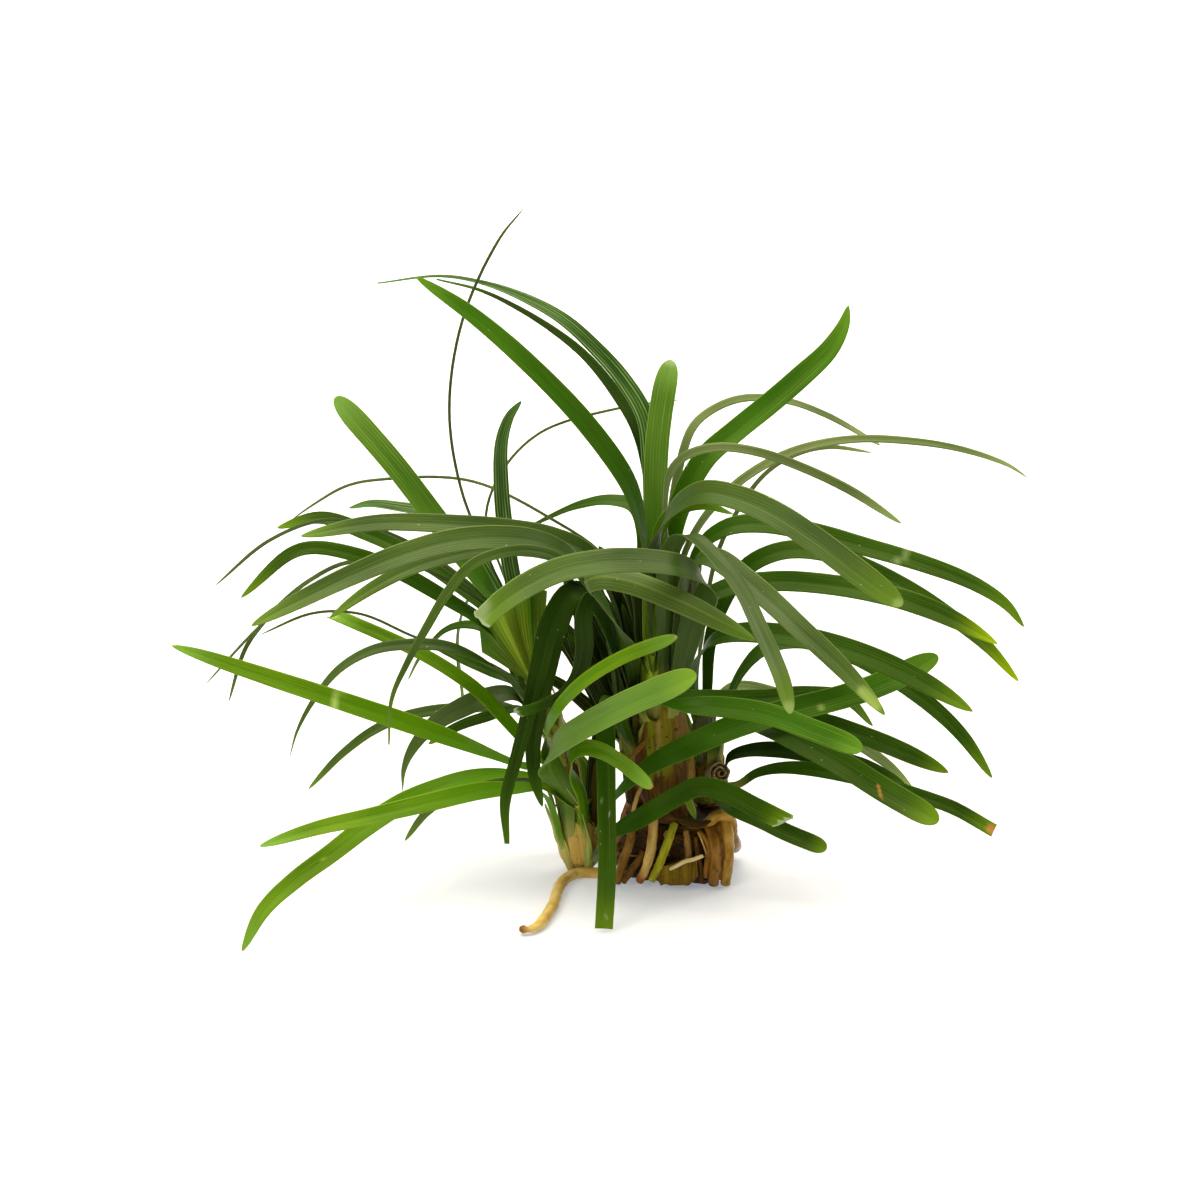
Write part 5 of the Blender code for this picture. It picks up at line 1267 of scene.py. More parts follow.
# %% [markdown]
# ## The thick shoot in the centre
#
# This is the mother plant: a brown, papery stem as thick as a finger's tip, with a streak of living
# yellow-green down its front and dark specks of decay at its right. It carries the highest leaves, the long
# ones that arch over to the right, and the ones that come towards the camera.

# %% The centre shoot: line and leaves
SHOOTS["centre"] = [(-1.5, -3.0, 11.8, 3.9), (-2.0, -2.6, 19.0, 4.6), (-3.0, -1.6, 30.0, 3.5),
                    (-3.8, -1.0, 39.0, 2.7)]
centre_leaves = [
    # finish, widest, tip, (ring, degrees), route
    ("backlit", 4.2, "blunt", (0, 100), [(-3.6, 48, 1), (-3.7, 60, 1), (-3.5, 76, 2), (-2.2, 86.5, 3),
     (-0.9, 92.4, 4)]),
    ("lush", 3.8, "pointed", (1, 200), [(-5.6, 52, -3), (-6.2, 61, -4), (-8.9, 70, -5), (-16.2, 80.5, -7),
     (-25.1, 90, -9), (-36.4, 100, -11), (-47.3, 107.5, -12)]),
    ("striped", 3.0, (1.4, 2.2, 3.0, 3.4, 3.4, 3.2, 2.9, 2.5, 1.8, 0.8, 0.5, 0.3), (1, 140), [(-4.7, 56, 4),
     (-4.7, 74, 8), (-5.7, 82, 10), (-9.6, 88.7, 13), (-14.4, 94.2, 15), (-20.6, 99.8, 17),
     (-28.6, 104.1, 20), (-36, 106.6, 22), (-43, 107.6, 24), (-54.2, 106.3, 27)]),
    ("shade", 2.7, (1.3, 2.0, 2.5, 2.6, 2.5, 2.3, 2.0, 1.6, 1.1, 0.7, 0.35), (2, 115), [(-4.3, 54, 7),
     (-4.4, 68, 12), (-6.8, 79.2, 17), (-11, 86.4, 22), (-16.4, 93, 26), (-22.2, 97.7, 29),
     (-28.8, 101.8, 32), (-35.6, 105, 35), (-43.5, 107, 38)]),
    ("lush", 4.2, "rounded", (1, 50), [(-1.2, 54, 3), (0.2, 64, 5), (5, 74, 9), (10.8, 79.3, 12),
     (16.9, 84.2, 14), (22.7, 89.2, 16), (27.9, 94.2, 18), (30.5, 98.6, 19), (31.4, 102.3, 20)]),
    ("thread", 1.6, "thread", (2, 75), [(-1.8, 54, 7), (-0.6, 66, 11), (1, 74.5, 14), (3, 80, 17),
     (6.2, 83, 20), (11.4, 85.2, 22), (19, 85.1, 25), (27, 82.4, 29), (37.2, 76.8, 34)]),
    ("thread", 1.6, "thread", (1, 340), [(-1.2, 54, -4.5), (-1.9, 65, -8.6), (-0.8, 72.2, -11),
     (2.6, 75.3, -13), (8, 76.5, -15), (15, 75.6, -17), (22.5, 73, -18), (31.6, 68.7, -20),
     (41, 62.6, -22)]),
    ("thread", 1.7, "pointed", (2, 32), [(0.7, 54, 4), (4.6, 62.8, 6), (10.4, 69.2, 8), (15, 72.6, 10),
     (20, 75.2, 12), (25, 76.8, 13), (31, 77.8, 14), (38, 77.9, 15), (50, 76.5, 17), (60, 73.4, 19),
     (64, 70.9, 20)]),
    ("deep", 3.3, "long", (2, 152), [(-5.9, 52, 5), (-5.7, 61, 8), (-7.4, 65.6, 11), (-12, 66.8, 14),
     (-17, 66.1, 17), (-22, 64.2, 20), (-32.5, 58.8, 26)]),
    ("waxy", 4.4, "blunt", (1, 270), [(-4.4, 52, -7.2), (-3.4, 60, -13), (0, 65.6, -19.5), (5, 68.2, -25.5),
     (11, 67.3, -30), (18, 64.3, -35), (25, 59.8, -39), (33, 53.8, -43), (41.2, 47.7, -46)]),
    ("waxy", 4.0, "blunt", (2, 285), [(-1.8, 51, -10), (-0.9, 57.5, -15), (2.2, 60.4, -21), (8.2, 55.2, -28),
     (12, 50, -32), (14.6, 44.6, -36), (17, 39.4, -39), (19, 34.4, -42), (20.8, 28, -45)], AS_GROWN),
    ("waxy", 4.4, "pointed", (2, 322), [(1, 48, -8), (3.2, 55.5, -12), (7, 56.2, -17), (12.5, 52.4, -23),
     (17.5, 48.2, -27), (22.2, 43.8, -31), (27, 39.4, -34), (32, 34.4, -37), (38, 27.8, -41)]),
    ("deep", 3.8, "pointed", (2, 357), [(1.6, 50, -3), (4.5, 58.2, -4), (9.5, 61.8, -5.5), (16, 62.5, -7),
     (25, 60.9, -9), (35, 58.1, -11), (45, 55.2, -13), (54, 51.7, -14), (59.8, 48, -15), (63.3, 43.8, -16)]),
    ("yellow_tip", 4.0, "rounded", (3, 15), [(2, 43.5, 0), (4.6, 48.2, -0.5), (9.5, 50.9, -1), (18, 52, -2),
     (27, 51.5, -4), (35, 50.2, -5), (42.5, 48.3, -7), (50, 45.3, -8), (58.5, 40.7, -10)]),
    ("waxy", 4.8, (2.2, 3.6, 4.6, 4.8, 4.8, 4.8, 4.7, 4.5, 4.2, 3.5), (3, 300), [(3, 44, -11),
     (5.6, 50.6, -18), (3, 54, -24), (-4.7, 55.6, -32), (-13.8, 55.5, -41), (-22.5, 53.6, -48),
     (-30.2, 49.4, -54), (-35.8, 44.6, -57)]),
    ("lush", 4.0, "blunt", (3, 235), [(-6.6, 29.2, -8.2), (-3.5, 29.8, -13), (3, 29.4, -17), (10, 29, -20),
     (17, 27.8, -23), (24, 25.3, -26), (33.9, 21.4, -29)]),
]
MARKS.update({
    "centre_leaf_01": [((-1.2, 92.4), (-0.6, 92.3), 1.6, (0.1, 0, 0.35))],
    "centre_leaf_10": [((41.2, 47.7), (40.4, 48.0), 1.5, (0.2, 0, 0.12))],
    "centre_leaf_11": [((20.8, 28.0), (20.6, 29.0), 2.0, (0.15, 0, 0.12))],
    "centre_leaf_12": [((36.4, 29.6), (34.0, 32.1), 1.5, (0.3, 0, 0.08))],
    "centre_leaf_13": [((42.2, 57.6), (40.4, 55.6), 0.8, (0.12, 0, 0.1)),
                       ((41.0, 56.6), (40.4, 54.8), 0.4, (0.2, 0, 0.1))],
    "centre_leaf_15": [((-36.4, 45.0), (-35.4, 47.6), 2.6, (0, 0, 0.22))],
})
TEARS["centre_leaf_15"] = [(-1, 0.6), (-0.3, 0.2), (0.2, 0.5), (0.6, 0.1), (1, 0.4)]
grow_leaves("centre", "leaf", centre_leaves)

# %% The centre shoot: small leaves and stem
centre_small_leaves = [
    # title, finish, widest, tip, (height above the top, degrees), route
    ("small_leaf", LEAF_FINISHES["fresh"], 2.2, "rounded", (-1.6, 300), [(-3.8, 52, -3.4),
     (-3.6, 58.5, -6.8), (-1.8, 63.5, -11), (1.5, 65.6, -14), (5.5, 66, -16), (10.5, 64.3, -18)]),
    ("side_bud", GREEN_SHEATH, 1.6, "rounded", (-26, 292), [(1.3, 13.8, -10.3), (2.6, 11.3, -12.2),
     (3.6, 8.9, -12.6)], AS_GROWN),
]
grow_small_leaves("centre", "leaf", centre_small_leaves)
grow_ribbons("centre", [
    ("papery_scale", RUST_SCALE, "papery_sheath", (0.7, 1.5, 2.1, 1.7, 0.5), [(-9.6, 19.3, -5.4),
     (-8.4, 20.2, -7.2), (-7, 21.2, -8.2), (-5.9, 22.4, -8.9), (-5.0, 23.5, -9.2)]),
])
centre_strips = [
    # finish, widest, tip, (height above the top, degrees), route
    (DARK_STRIP, 2.4, "pointed", (-6, 215), [(-6.2, 41, -3.2), (-6.8, 47.5, -4), (-8.4, 54, -4.5)]),
    (GREEN_SHEATH, 2.2, "pointed", (-7, 245), [(-5.2, 41, -4.4), (-5.4, 48, -6), (-5.4, 56, -8)]),
    (GREEN_SHEATH, 2.2, "pointed", (-7, 270), [(-3.7, 41, -4.8), (-3.4, 49, -6.5), (-2.6, 57, -9)]),
    (GREY_STEM, 2.2, "pointed", (-7, 295), [(-2.0, 41, -4.6), (-1.4, 49, -6), (-0.6, 57, -9)]),
    (GREY_STEM, 1.9, "pointed", (-7, 325), [(-0.4, 39.5, -3.6), (0.3, 46.5, -5.5), (1.2, 53, -8)]),
    (GREY_STEM, 1.8, "pointed", (-7, 350), [(0.8, 39, -2), (1.6, 46, -2.5), (2.8, 53, -3)]),
    (GREY_STEM, 1.6, "thread", (-5, 20), [(1.4, 40, 0.6), (2.6, 48, 1), (4.4, 56, 1.5)]),
    (DARK_STRIP, 1.6, "pointed", (-9, 190), [(-7.4, 36, -1), (-8.2, 42, -1.4), (-9.8, 48, -2)]),
]
grow_bundle("centre", "leaf", centre_strips)
STREAKS["centre"] = [
    # the places that a streak runs through, from below, its width in mm, and how green, dark brown and pale
    # it is
    ([(-4.9, 16), (-4.6, 20), (-4.7, 27.8), (-4.4, 34), (-4.7, 41.5)], 1.5, (1, 0, 0)),
    ([(-1.8, 17.5), (-1.5, 21), (-1.6, 27.5)], 1.6, (0.9, 0, 0)),
    ([(-3.4, 32), (-3.0, 42)], 1.2, (0.9, 0, 0)),
    # a dark brown band down the left side of the stem
    ([(-7.6, 11), (-7.4, 19), (-7.2, 29)], 3.6, (0, 0.85, 0)),
    ([(-3.2, 17), (-3.1, 26)], 0.8, (0.2, 0, 0.35)),
    ([(-0.2, 11.5), (0.4, 13)], 2.2, (0, 0.7, 0)),
    ([(0.5, 18), (0.8, 28)], 1.3, (0, 0.45, 0.1)),
]
centre_sheaths = [
    (PAPERY_BROWN, -27, -12.0, 275, 210, 0.3, 0.3, 1.2),
    (PAPERY_BROWN, -27, -15.0, 60, 230, 0.25, 0.4, 1.4),
    (PAPERY_BROWN, -24, -7.6, 268, 205, 1.05, 0.3, 2.2, 0.6),
    (PAPERY_DARK, -19, -5.0, 20, 150, 0.25, 0.5, 1.6),
    (GREEN_SHEATH, -5, 4.0, 290, 170, 0.2, 0.5, 1.4),
    (GREEN_SHEATH, -4, 7.0, 200, 150, 0.15, 0.5, 1.4),
]
grow_stem("centre", PAPERY_BROWN, "papery_sheath", centre_sheaths)

# %% [markdown]
# ## The short shoot at the right
#
# Behind the mother plant a short stem carries the leaves that spread low to the right. They are the
# toughest and darkest, and two have yellow tips. One end was cut square and has dried to a tan edge.

# %% The right shoot: line and leaves
SHOOTS["right"] = [(6.4, 2.0, 12.0, 2.7), (5.6, 2.5, 17.0, 2.7), (4.6, 3.0, 23.2, 2.3)]
right_leaves = [
    # finish, widest, tip, (ring, degrees), route
    ("yellow_tip", 3.7, "pointed", (1, 60), [(5.8, 33, 4.5), (6.3, 41, 5), (8.6, 48, 5), (13, 54.6, 4.5),
     (19.5, 57.6, 3.5), (27, 57.3, 2), (35, 54.3, 1), (43, 50.2, -0.5), (50, 45.6, -2), (56.5, 40.3, -3),
     (62.3, 33.9, -4)]),
    ("deep", 4.2, "rounded", (1, 300), [(3.4, 30, 0), (4.4, 38.7, -3), (8.9, 42.2, -6), (20, 42.2, -10),
     (32, 39.4, -13), (44, 34.2, -16), (54, 28.4, -19)]),
    ("deep", 3.6, "pointed", (2, 20), [(9.2, 28, 5.5), (11.4, 34.5, 8), (16.2, 39.8, 9), (22.5, 41.3, 9),
     (31.6, 38.9, 7), (40, 34.1, 5), (47, 28.9, 3), (52, 24, 2), (57.5, 16.3, 0)]),
    ("shade", 3.2, "pointed", (3, 345), [(9.6, 19.8, -2), (13, 21.2, -3), (18, 21.4, -4), (24.4, 20.6, -6),
     (33.5, 18.8, -8), (41.6, 15.2, -10)]),
    ("deep", 3.0, "cut", (3, 20), [(11.4, 15.2, 3), (14.5, 17.2, 4), (19, 18.2, 4), (25, 17.9, 4),
     (31.6, 16.6, 3), (44.4, 13, 2), (50.5, 10.8, 1), (57.8, 6.7, 0)]),
    ("deep", 4.6, "blunt", (2, 290), [(8.2, 24.6, -4), (12.5, 26.2, -7), (18, 25.1, -11), (24.5, 21.9, -14),
     (31, 18.3, -17), (38, 13.9, -20), (47.7, 8.3, -25)]),
    ("deep", 3.6, "rounded", (2, 335), [(9, 25.5, 0.5), (18, 27.6, -1.5), (26.2, 26.5, -3.5),
     (33.5, 24.2, -5), (41, 21.2, -7), (49.6, 17.3, -8)]),
    ("thread", 2.8, "pointed", (2, 75), [(6.4, 27, 8), (10, 32.5, 13), (18, 31.5, 17), (27, 27, 19),
     (33.5, 22.3, 19.5), (38.4, 18.8, 19.5), (42.9, 14.7, 19)]),
    ("deep", 3.3, "blunt", (3, 255), [(6.6, 13, -7), (10.5, 10.8, -11), (15.3, 8.7, -13), (20.5, 6.2, -15),
     (27.4, 3.4, -17)]),
]
MARKS.update({
    "right_leaf_05": [((57.9, 6.6), (57.2, 7.2), 1.2, (0, 1.0, 0))],
    "right_leaf_06": [((36.8, 14.9), (37.3, 12.8), 0.35, (0, 0.8, 0))],
})
grow_leaves("right", "leaf", right_leaves)

# %% The right shoot: small leaves and stem
right_small_leaves = [
    # title, finish, widest, tip, (height above the top, degrees), route
    ("thread", LEAF_FINISHES["thread"], 0.85, "thread", (-1.6, 130), [(3.6, 31, 6.4), (5, 44, 11),
     (7.5, 57, 15), (12.5, 67, 18), (17.1, 72.4, 20), (22.5, 75.4, 21), (28, 76.5, 22), (35.6, 75.5, 24)]),
]
grow_small_leaves("right", "leaf", right_small_leaves)
right_sheaths = [
    (PAPERY_BROWN, -11, -2.0, 290, 220, 0.3, 0.8, 1.8),
    (PAPERY_DARK, -11, -4.0, 110, 220, 0.3, 0.8, 1.8),
    (GREY_STEM, -5, 6.0, 300, 140, 0.15, 0.8, 1.4),
    (GREEN_SHEATH, -5, 7.0, 180, 150, 0.15, 0.8, 1.4),
]
grow_stem("right", PAPERY_BROWN, "papery_sheath", right_sheaths)

# %% [markdown]
# In front of this stem an old leaf was cut off short. Its dried sheaths are still rolled one in the other,
# so the cut shows as a small spiral of papery rings.

# %% The dry stub
STUB_TURNS, STUB_STEPS = 2.6, 110
STUB_INNER, STUB_OUTER = 0.3, 2.3           # mm, radius of the roll
STUB_LENGTH, STUB_PAPER = 1.8, 0.16         # mm
STUB_PLACE = (7.9, 17.2, -2.2)              # as seen from the front


def stub_skin(seed):
    """A strip of dry sheath rolled up in a spiral."""
    axis = Vector((0.35, -0.85, 0.4)).normalized()
    first = square_to(Vector((0, 0, 1)), axis)
    second = axis.cross(first)
    middle = sighted(*STUB_PLACE)
    rings, mm, share_values = [], [], []
    for step in range(STUB_STEPS + 1):
        share = step / STUB_STEPS
        angle = 2 * math.pi * STUB_TURNS * share
        out = first * math.cos(angle) + second * math.sin(angle)
        uneven = noise.noise(Vector((math.cos(angle) * 1.5, math.sin(angle) * 1.5, seed)))
        radius = (STUB_INNER + (STUB_OUTER - STUB_INNER) * share) * (1 + 0.25 * uneven)
        top = STUB_LENGTH / 2 + 0.35 * noise.noise(Vector((angle, seed, 1.0)))
        corners = ((-STUB_PAPER / 2, -STUB_LENGTH), (STUB_PAPER / 2, -STUB_LENGTH), (STUB_PAPER / 2, top),
                   (-STUB_PAPER / 2, top))
        rings.append([tuple(middle + out * (radius + beside) + axis * above) for beside, above in corners])
        mm.extend([(above, angle * radius, seed) for _, above in corners])
        share_values.extend([(0.0, share, 0.0)] * 4)
    return ring_skin(rings, mm, share_values)


DRY_STUB = sheath_finish("Dry sheath, cut end", "#7d6648", "#a8926c", "#cdbd9c", "#6a6a34", 0.1, 0.3)
make_piece("right_dry_stub", [stub_skin(5.0)], [DRY_STUB], "papery_sheath")
print("the stub is rolled", STUB_TURNS, "times")

# %% [markdown]
# ## Roots
#
# A root is a lumpy, wrinkled rod. Old ones are cream to brown and fleshy, with fine cross wrinkles and
# rust-brown patches where the skin is rubbed. They are thick for so small a plant, because they store
# water.

# %% Root shapes and finishes
ROOT_SIDES = 14
ROOT_GAP = 0.05                     # mm between the ground and a root that lies on it
ROOT_WRINKLE = 0.04                 # depth of the wrinkles, as a share of the radius


def smooth_rod(points, radii_at, steps, seed, lumps=0.09, sides=ROOT_SIDES):
    """The skin of a root through the given points. radii_at gives its radius at a share of its length."""
    shares = [i / steps for i in range(steps + 1)]
    path, length = smooth_path(points, shares)
    directions, faces = carried_faces(path, Vector((0.3, 0.2, 1)))
    rings, mm, share_values = [], [], []
    for point, direction, face, share in zip(path, directions, faces, shares):
        side = direction.cross(face)
        base_radius = radii_at(share)
        ring = []
        for k in range(sides):
            angle = 2 * math.pi * k / sides
            out = face * math.cos(angle) + side * math.sin(angle)
            climb = share * length / max(base_radius, 0.3) * 0.7
            place = Vector((math.cos(angle), math.sin(angle) + seed, climb))
            wrinkle = noise.noise(Vector((seed, angle / 3, share * length * 2.2)))
            radius = base_radius * (1 - lumps + lumps * 2 * noise.noise(place) + ROOT_WRINKLE * wrinkle)
            skin_place = point + out * radius
            ring.append((skin_place.x, skin_place.y, max(skin_place.z, ROOT_GAP)))
            mm.append((angle * base_radius, share * length, seed))
            share_values.append((math.cos(angle), share, 0.0))
        rings.append(ring)
    return ring_skin(rings, mm, share_values)


def root_finish(name, pale, middle, rust, rust_amount, tip=None, foot=None, roughness=0.5, sheen=0.25):
    """Root skin: pale with a warmer tone in clouds, cross wrinkles, and rust-brown patches."""
    made, shader, add = new_finish(name)
    _, along, _ = stored(add, "blade_share")
    layers = [(add("MapRange", grain(add, 1.5, 5.0, 2.0), 0.35, 0.65, **SMOOTH), middle),
              (add("MapRange", grain(add, 1.2, 1.6, 4.0), 0.52, 0.7, 0.0, rust_amount, **SMOOTH), rust)]
    if tip is not None:
        layers.append((add("MapRange", along, 0.93, 0.99, **SMOOTH), tip))
    if foot is not None:
        layers.append((add("MapRange", along, 0.8, 0.95, **SMOOTH), foot))
    wrinkles = grain(add, 3.0, 0.35, 3.0)
    set_looks(shader, {
        "Base Color": layered(add, pale, layers), "Normal": add("Bump", 0.5, 0.1 * MM, None, wrinkles),
        "Roughness": roughness, "IOR": FRESH_TISSUE_IOR, "Specular IOR Level": sheen,
        "Specular Tint": "#f4dc98"})
    return made


ROOT_FINISHES = {
    # name, then pale, middle and rust, and how much rust
    "cream": root_finish("Root skin, cream", "#c8ab66", "#a98441", "#784818", 0.35, foot="#8a5022"),
    "green": root_finish("Root skin, yellow-green", "#a5a028", "#878512", "#665a0e", 0.4),
    "tan": root_finish("Root skin, tan", "#8b6832", "#6c4c1a", "#42270c", 0.55),
    "brown": root_finish("Root skin, brown", "#634318", "#462b0c", "#261605", 0.7),
    "mat": root_finish("Root fibres, dry brown", "#6e4c1e", "#4c310f", "#2c1906", 0.55),
    "amber": root_finish("Root skin, wet amber", "#865a16", "#633d0a", "#3e2205", 0.6, roughness=0.26,
                         sheen=0.5),
    # glossy: the pale amber is partly the root's own paler skin and partly a painted highlight
    "glossy": root_finish("Root skin, wet pale amber with painted highlight", "#ab8538", "#87601c", "#633b0b", 0.4,
                          roughness=0.22, sheen=0.5),
    "white": root_finish("Root skin, young and white", "#d6c794", "#b89f5c", "#8a6a32", 0.3),
    "free": root_finish("Root skin, cream with a brown tip", "#dcc278", "#c7a454", "#9a6d2a", 0.3,
                        tip="#7a4a12"),
}
print(len(ROOT_FINISHES), "root finishes")

# %% [markdown]
# ## The root that lies free
#
# One thick root leaves the block under the young shoot and lies on the surface, bent forward. Its end is
# torn and brown.

# %% The free root
FREE_ROOT_DIAMETER = 2.1
FREE_ROOT_TIP_SHARE = 0.6
FREE_ROOT_ROUTE = [(-12.7, -1.0), (-15.0, -0.9), (-18.0, -1.0), (-20.4, -2.3), (-21.6, -4.4), (-22.3, -6.5),
                   (-23.6, -8.7), (-25.2, -10.6), (-26.8, -11.2), (-28.4, -11.1)]


def free_root_radius(share):
    """It thins a little at its end, and is uneven there."""
    ragged = 0.16 * math.sin(share * 130) * smoothstep(0.9, 1.0, share)
    return FREE_ROOT_DIAMETER / 2 * (1 - (1 - FREE_ROOT_TIP_SHARE) * smoothstep(0.8, 1.0, share) + ragged)


free_stops = [sighted_on_ground(across, up, FREE_ROOT_DIAMETER / 2 + ROOT_GAP)
              for across, up in FREE_ROOT_ROUTE]
make_piece("free_root_skin", [smooth_rod(free_stops, free_root_radius, 150, 3.0, lumps=0.06, sides=24)],
           [ROOT_FINISHES["free"]], "root", "free_root")
print("free root laid down")

# %% [markdown]
# ## The block of soil
#
# The clump was grown in a small net pot, so its soil came out as a block, and the roots are folded against
# the block's sides where they met the wall of the pot. The soil is almost black, damp peat. The block here
# is a rounded box pushed in and out by two sizes of noise, flat underneath. Crumbs of soil lie on it, and
# between the roots there is a felt of fine ones.

# %% Soil
BLOCK_WIDTH, BLOCK_DEPTH, BLOCK_HEIGHT = 20.5, 18.0, 11.25
BLOCK_TURN = math.radians(-9)
BLOCK_SLICES = 44
BLOCK_SIDES = 132
SQUARENESS = 6.0                    # the power of the rounded box; 2 would be an ellipsoid
SIDE_INSET, EDGE_INSET = 0.5, 1.6   # mm, all over, and more at the upper and lower edges
SIDE_SINK = 0.7                     # mm, makes room for the lumps
SIDE_NOISES = ((0.35, 0.7), (1.4, 0.5), (4, 0.18))      # lumps, crumbs, grit: waves in a mm, and size


def block_outline(angle, inset):
    """How far the block's side is from its middle at an angle, and the way out there."""
    across, deep = math.cos(angle), math.sin(angle)
    half_width, half_depth = BLOCK_WIDTH / 2 - inset, BLOCK_DEPTH / 2 - inset
    reach = abs(across / half_width) ** SQUARENESS + abs(deep / half_depth) ** SQUARENESS
    reach = reach ** (-1 / SQUARENESS)
    turned = Vector((math.cos(angle + BLOCK_TURN), math.sin(angle + BLOCK_TURN), 0))
    return reach, turned


def soil_place(angle, height, out=0.0):
    """A point on the side of the soil block, out millimetres off its surface."""
    roundness = abs(height / (BLOCK_HEIGHT / 2) - 1)
    reach, way = block_outline(angle, SIDE_INSET + EDGE_INSET * roundness ** 6)
    smooth = way * reach
    reach -= SIDE_SINK
    for waves, size in SIDE_NOISES:
        reach += size * noise.noise(Vector((smooth.x * waves, smooth.y * waves, height * waves)))
    place = way * (reach + out)
    place.z = height
    return place


def soil_skin():
    """The block's sides and top; its underside is flat."""
    rings, mm, share_values = [], [], []
    for slice_number in range(BLOCK_SLICES + 1):
        height = BLOCK_HEIGHT * slice_number / BLOCK_SLICES
        ring = []
        for k in range(BLOCK_SIDES):
            angle = 2 * math.pi * k / BLOCK_SIDES
            ring.append(tuple(soil_place(angle, height)))
            mm.append((angle * 10, height, 1.0))
            share_values.append((0, slice_number / BLOCK_SLICES, 0))
        rings.append(ring)
    edge = [Vector(place) for place in rings[-1]]
    for step in range(1, 20):
        shrink = 1 - step / 20
        ring = []
        for k, place in enumerate(edge):
            top = Vector((place.x * shrink, place.y * shrink, 0))
            hump = noise.noise(top * 0.5) * 0.5 + noise.noise(top * 2) * 0.3
            top.z = BLOCK_HEIGHT + hump * min(step / 3, 1) * 0.6
            ring.append(tuple(top))
            mm.append((2 * math.pi * k / BLOCK_SIDES * 10 * shrink, BLOCK_HEIGHT + step / 2, 1.0))
            share_values.append((0, 1, 0))
        rings.append(ring)
    return ring_skin(rings, mm, share_values)


def crumb_skin(place, size, rng):
    """One angular crumb of soil."""
    corners = 7
    rings = []
    for level in (-0.7, 0.0, 0.7):
        reach = size * math.sqrt(1 - level * level)
        rings.append([tuple(place + Vector((math.cos(a) * reach * rng.uniform(0.7, 1.1),
                                            math.sin(a) * reach * rng.uniform(0.7, 1.1),
                                            size * level * rng.uniform(0.7, 1.1))))
                      for a in (2 * math.pi * k / corners for k in range(corners))])
    count = 3 * corners
    return ring_skin(rings, [(rng.uniform(0, 9), rng.uniform(0, 9), 1.0)] * count, [(0, 0, 0)] * count)


def soil_finish():
    """Damp peat: nearly black, with brown crumbs and fibres; dull."""
    made, shader, add = new_finish("Damp peat")
    place = add("TexCoord", out="Object")
    peat = add("TexNoise", place, 0.9 / MM, 6.0)
    colour = layered(add, "#1c1108", [
        (add("MapRange", peat, 0.4, 0.75), "#533416"),
        (add("MapRange", add("TexNoise", place, 0.25 / MM, 3.0), 0.5, 0.7, 0.0, 0.6), "#5e3c1a"),
        (add("MapRange", add("TexVoronoi", place, 1.1 / MM), 0.16, 0.1, 0.0, 0.35), "#8a6a3c")])
    set_looks(shader, {"Base Color": colour, "Roughness": 0.78,
                       "Normal": add("Bump", 0.9, 0.4 * MM, None, peat)})
    return made


SOIL = soil_finish()
CRUMBS = 520
CRUMB_SIZES = (0.12, 0.42)          # mm, the smallest and the largest
rng = random.Random(7)
crumbs = []
for _ in range(CRUMBS):
    size = rng.uniform(*CRUMB_SIZES)
    crumbs.append(crumb_skin(soil_place(rng.uniform(0, 2 * math.pi), rng.uniform(0.5, 11.0)), size, rng))
make_piece("soil_block", [soil_skin()], [SOIL], "soil", "root_plug")
make_piece("soil_crumbs", crumbs, [SOIL], "soil")
print("soil block with", CRUMBS, "crumbs")

# %% [markdown]
# ## Roots on the block
#
# These roots are on the same lines as the folded roots of the plain solid. The big amber one at the right
# is two roots squashed into one fold against the corner of the pot, wet and shiny. More roots of middle
# size run between them, found by walking over the block's side: each step goes a little further round and
# down, with a seeded wander.

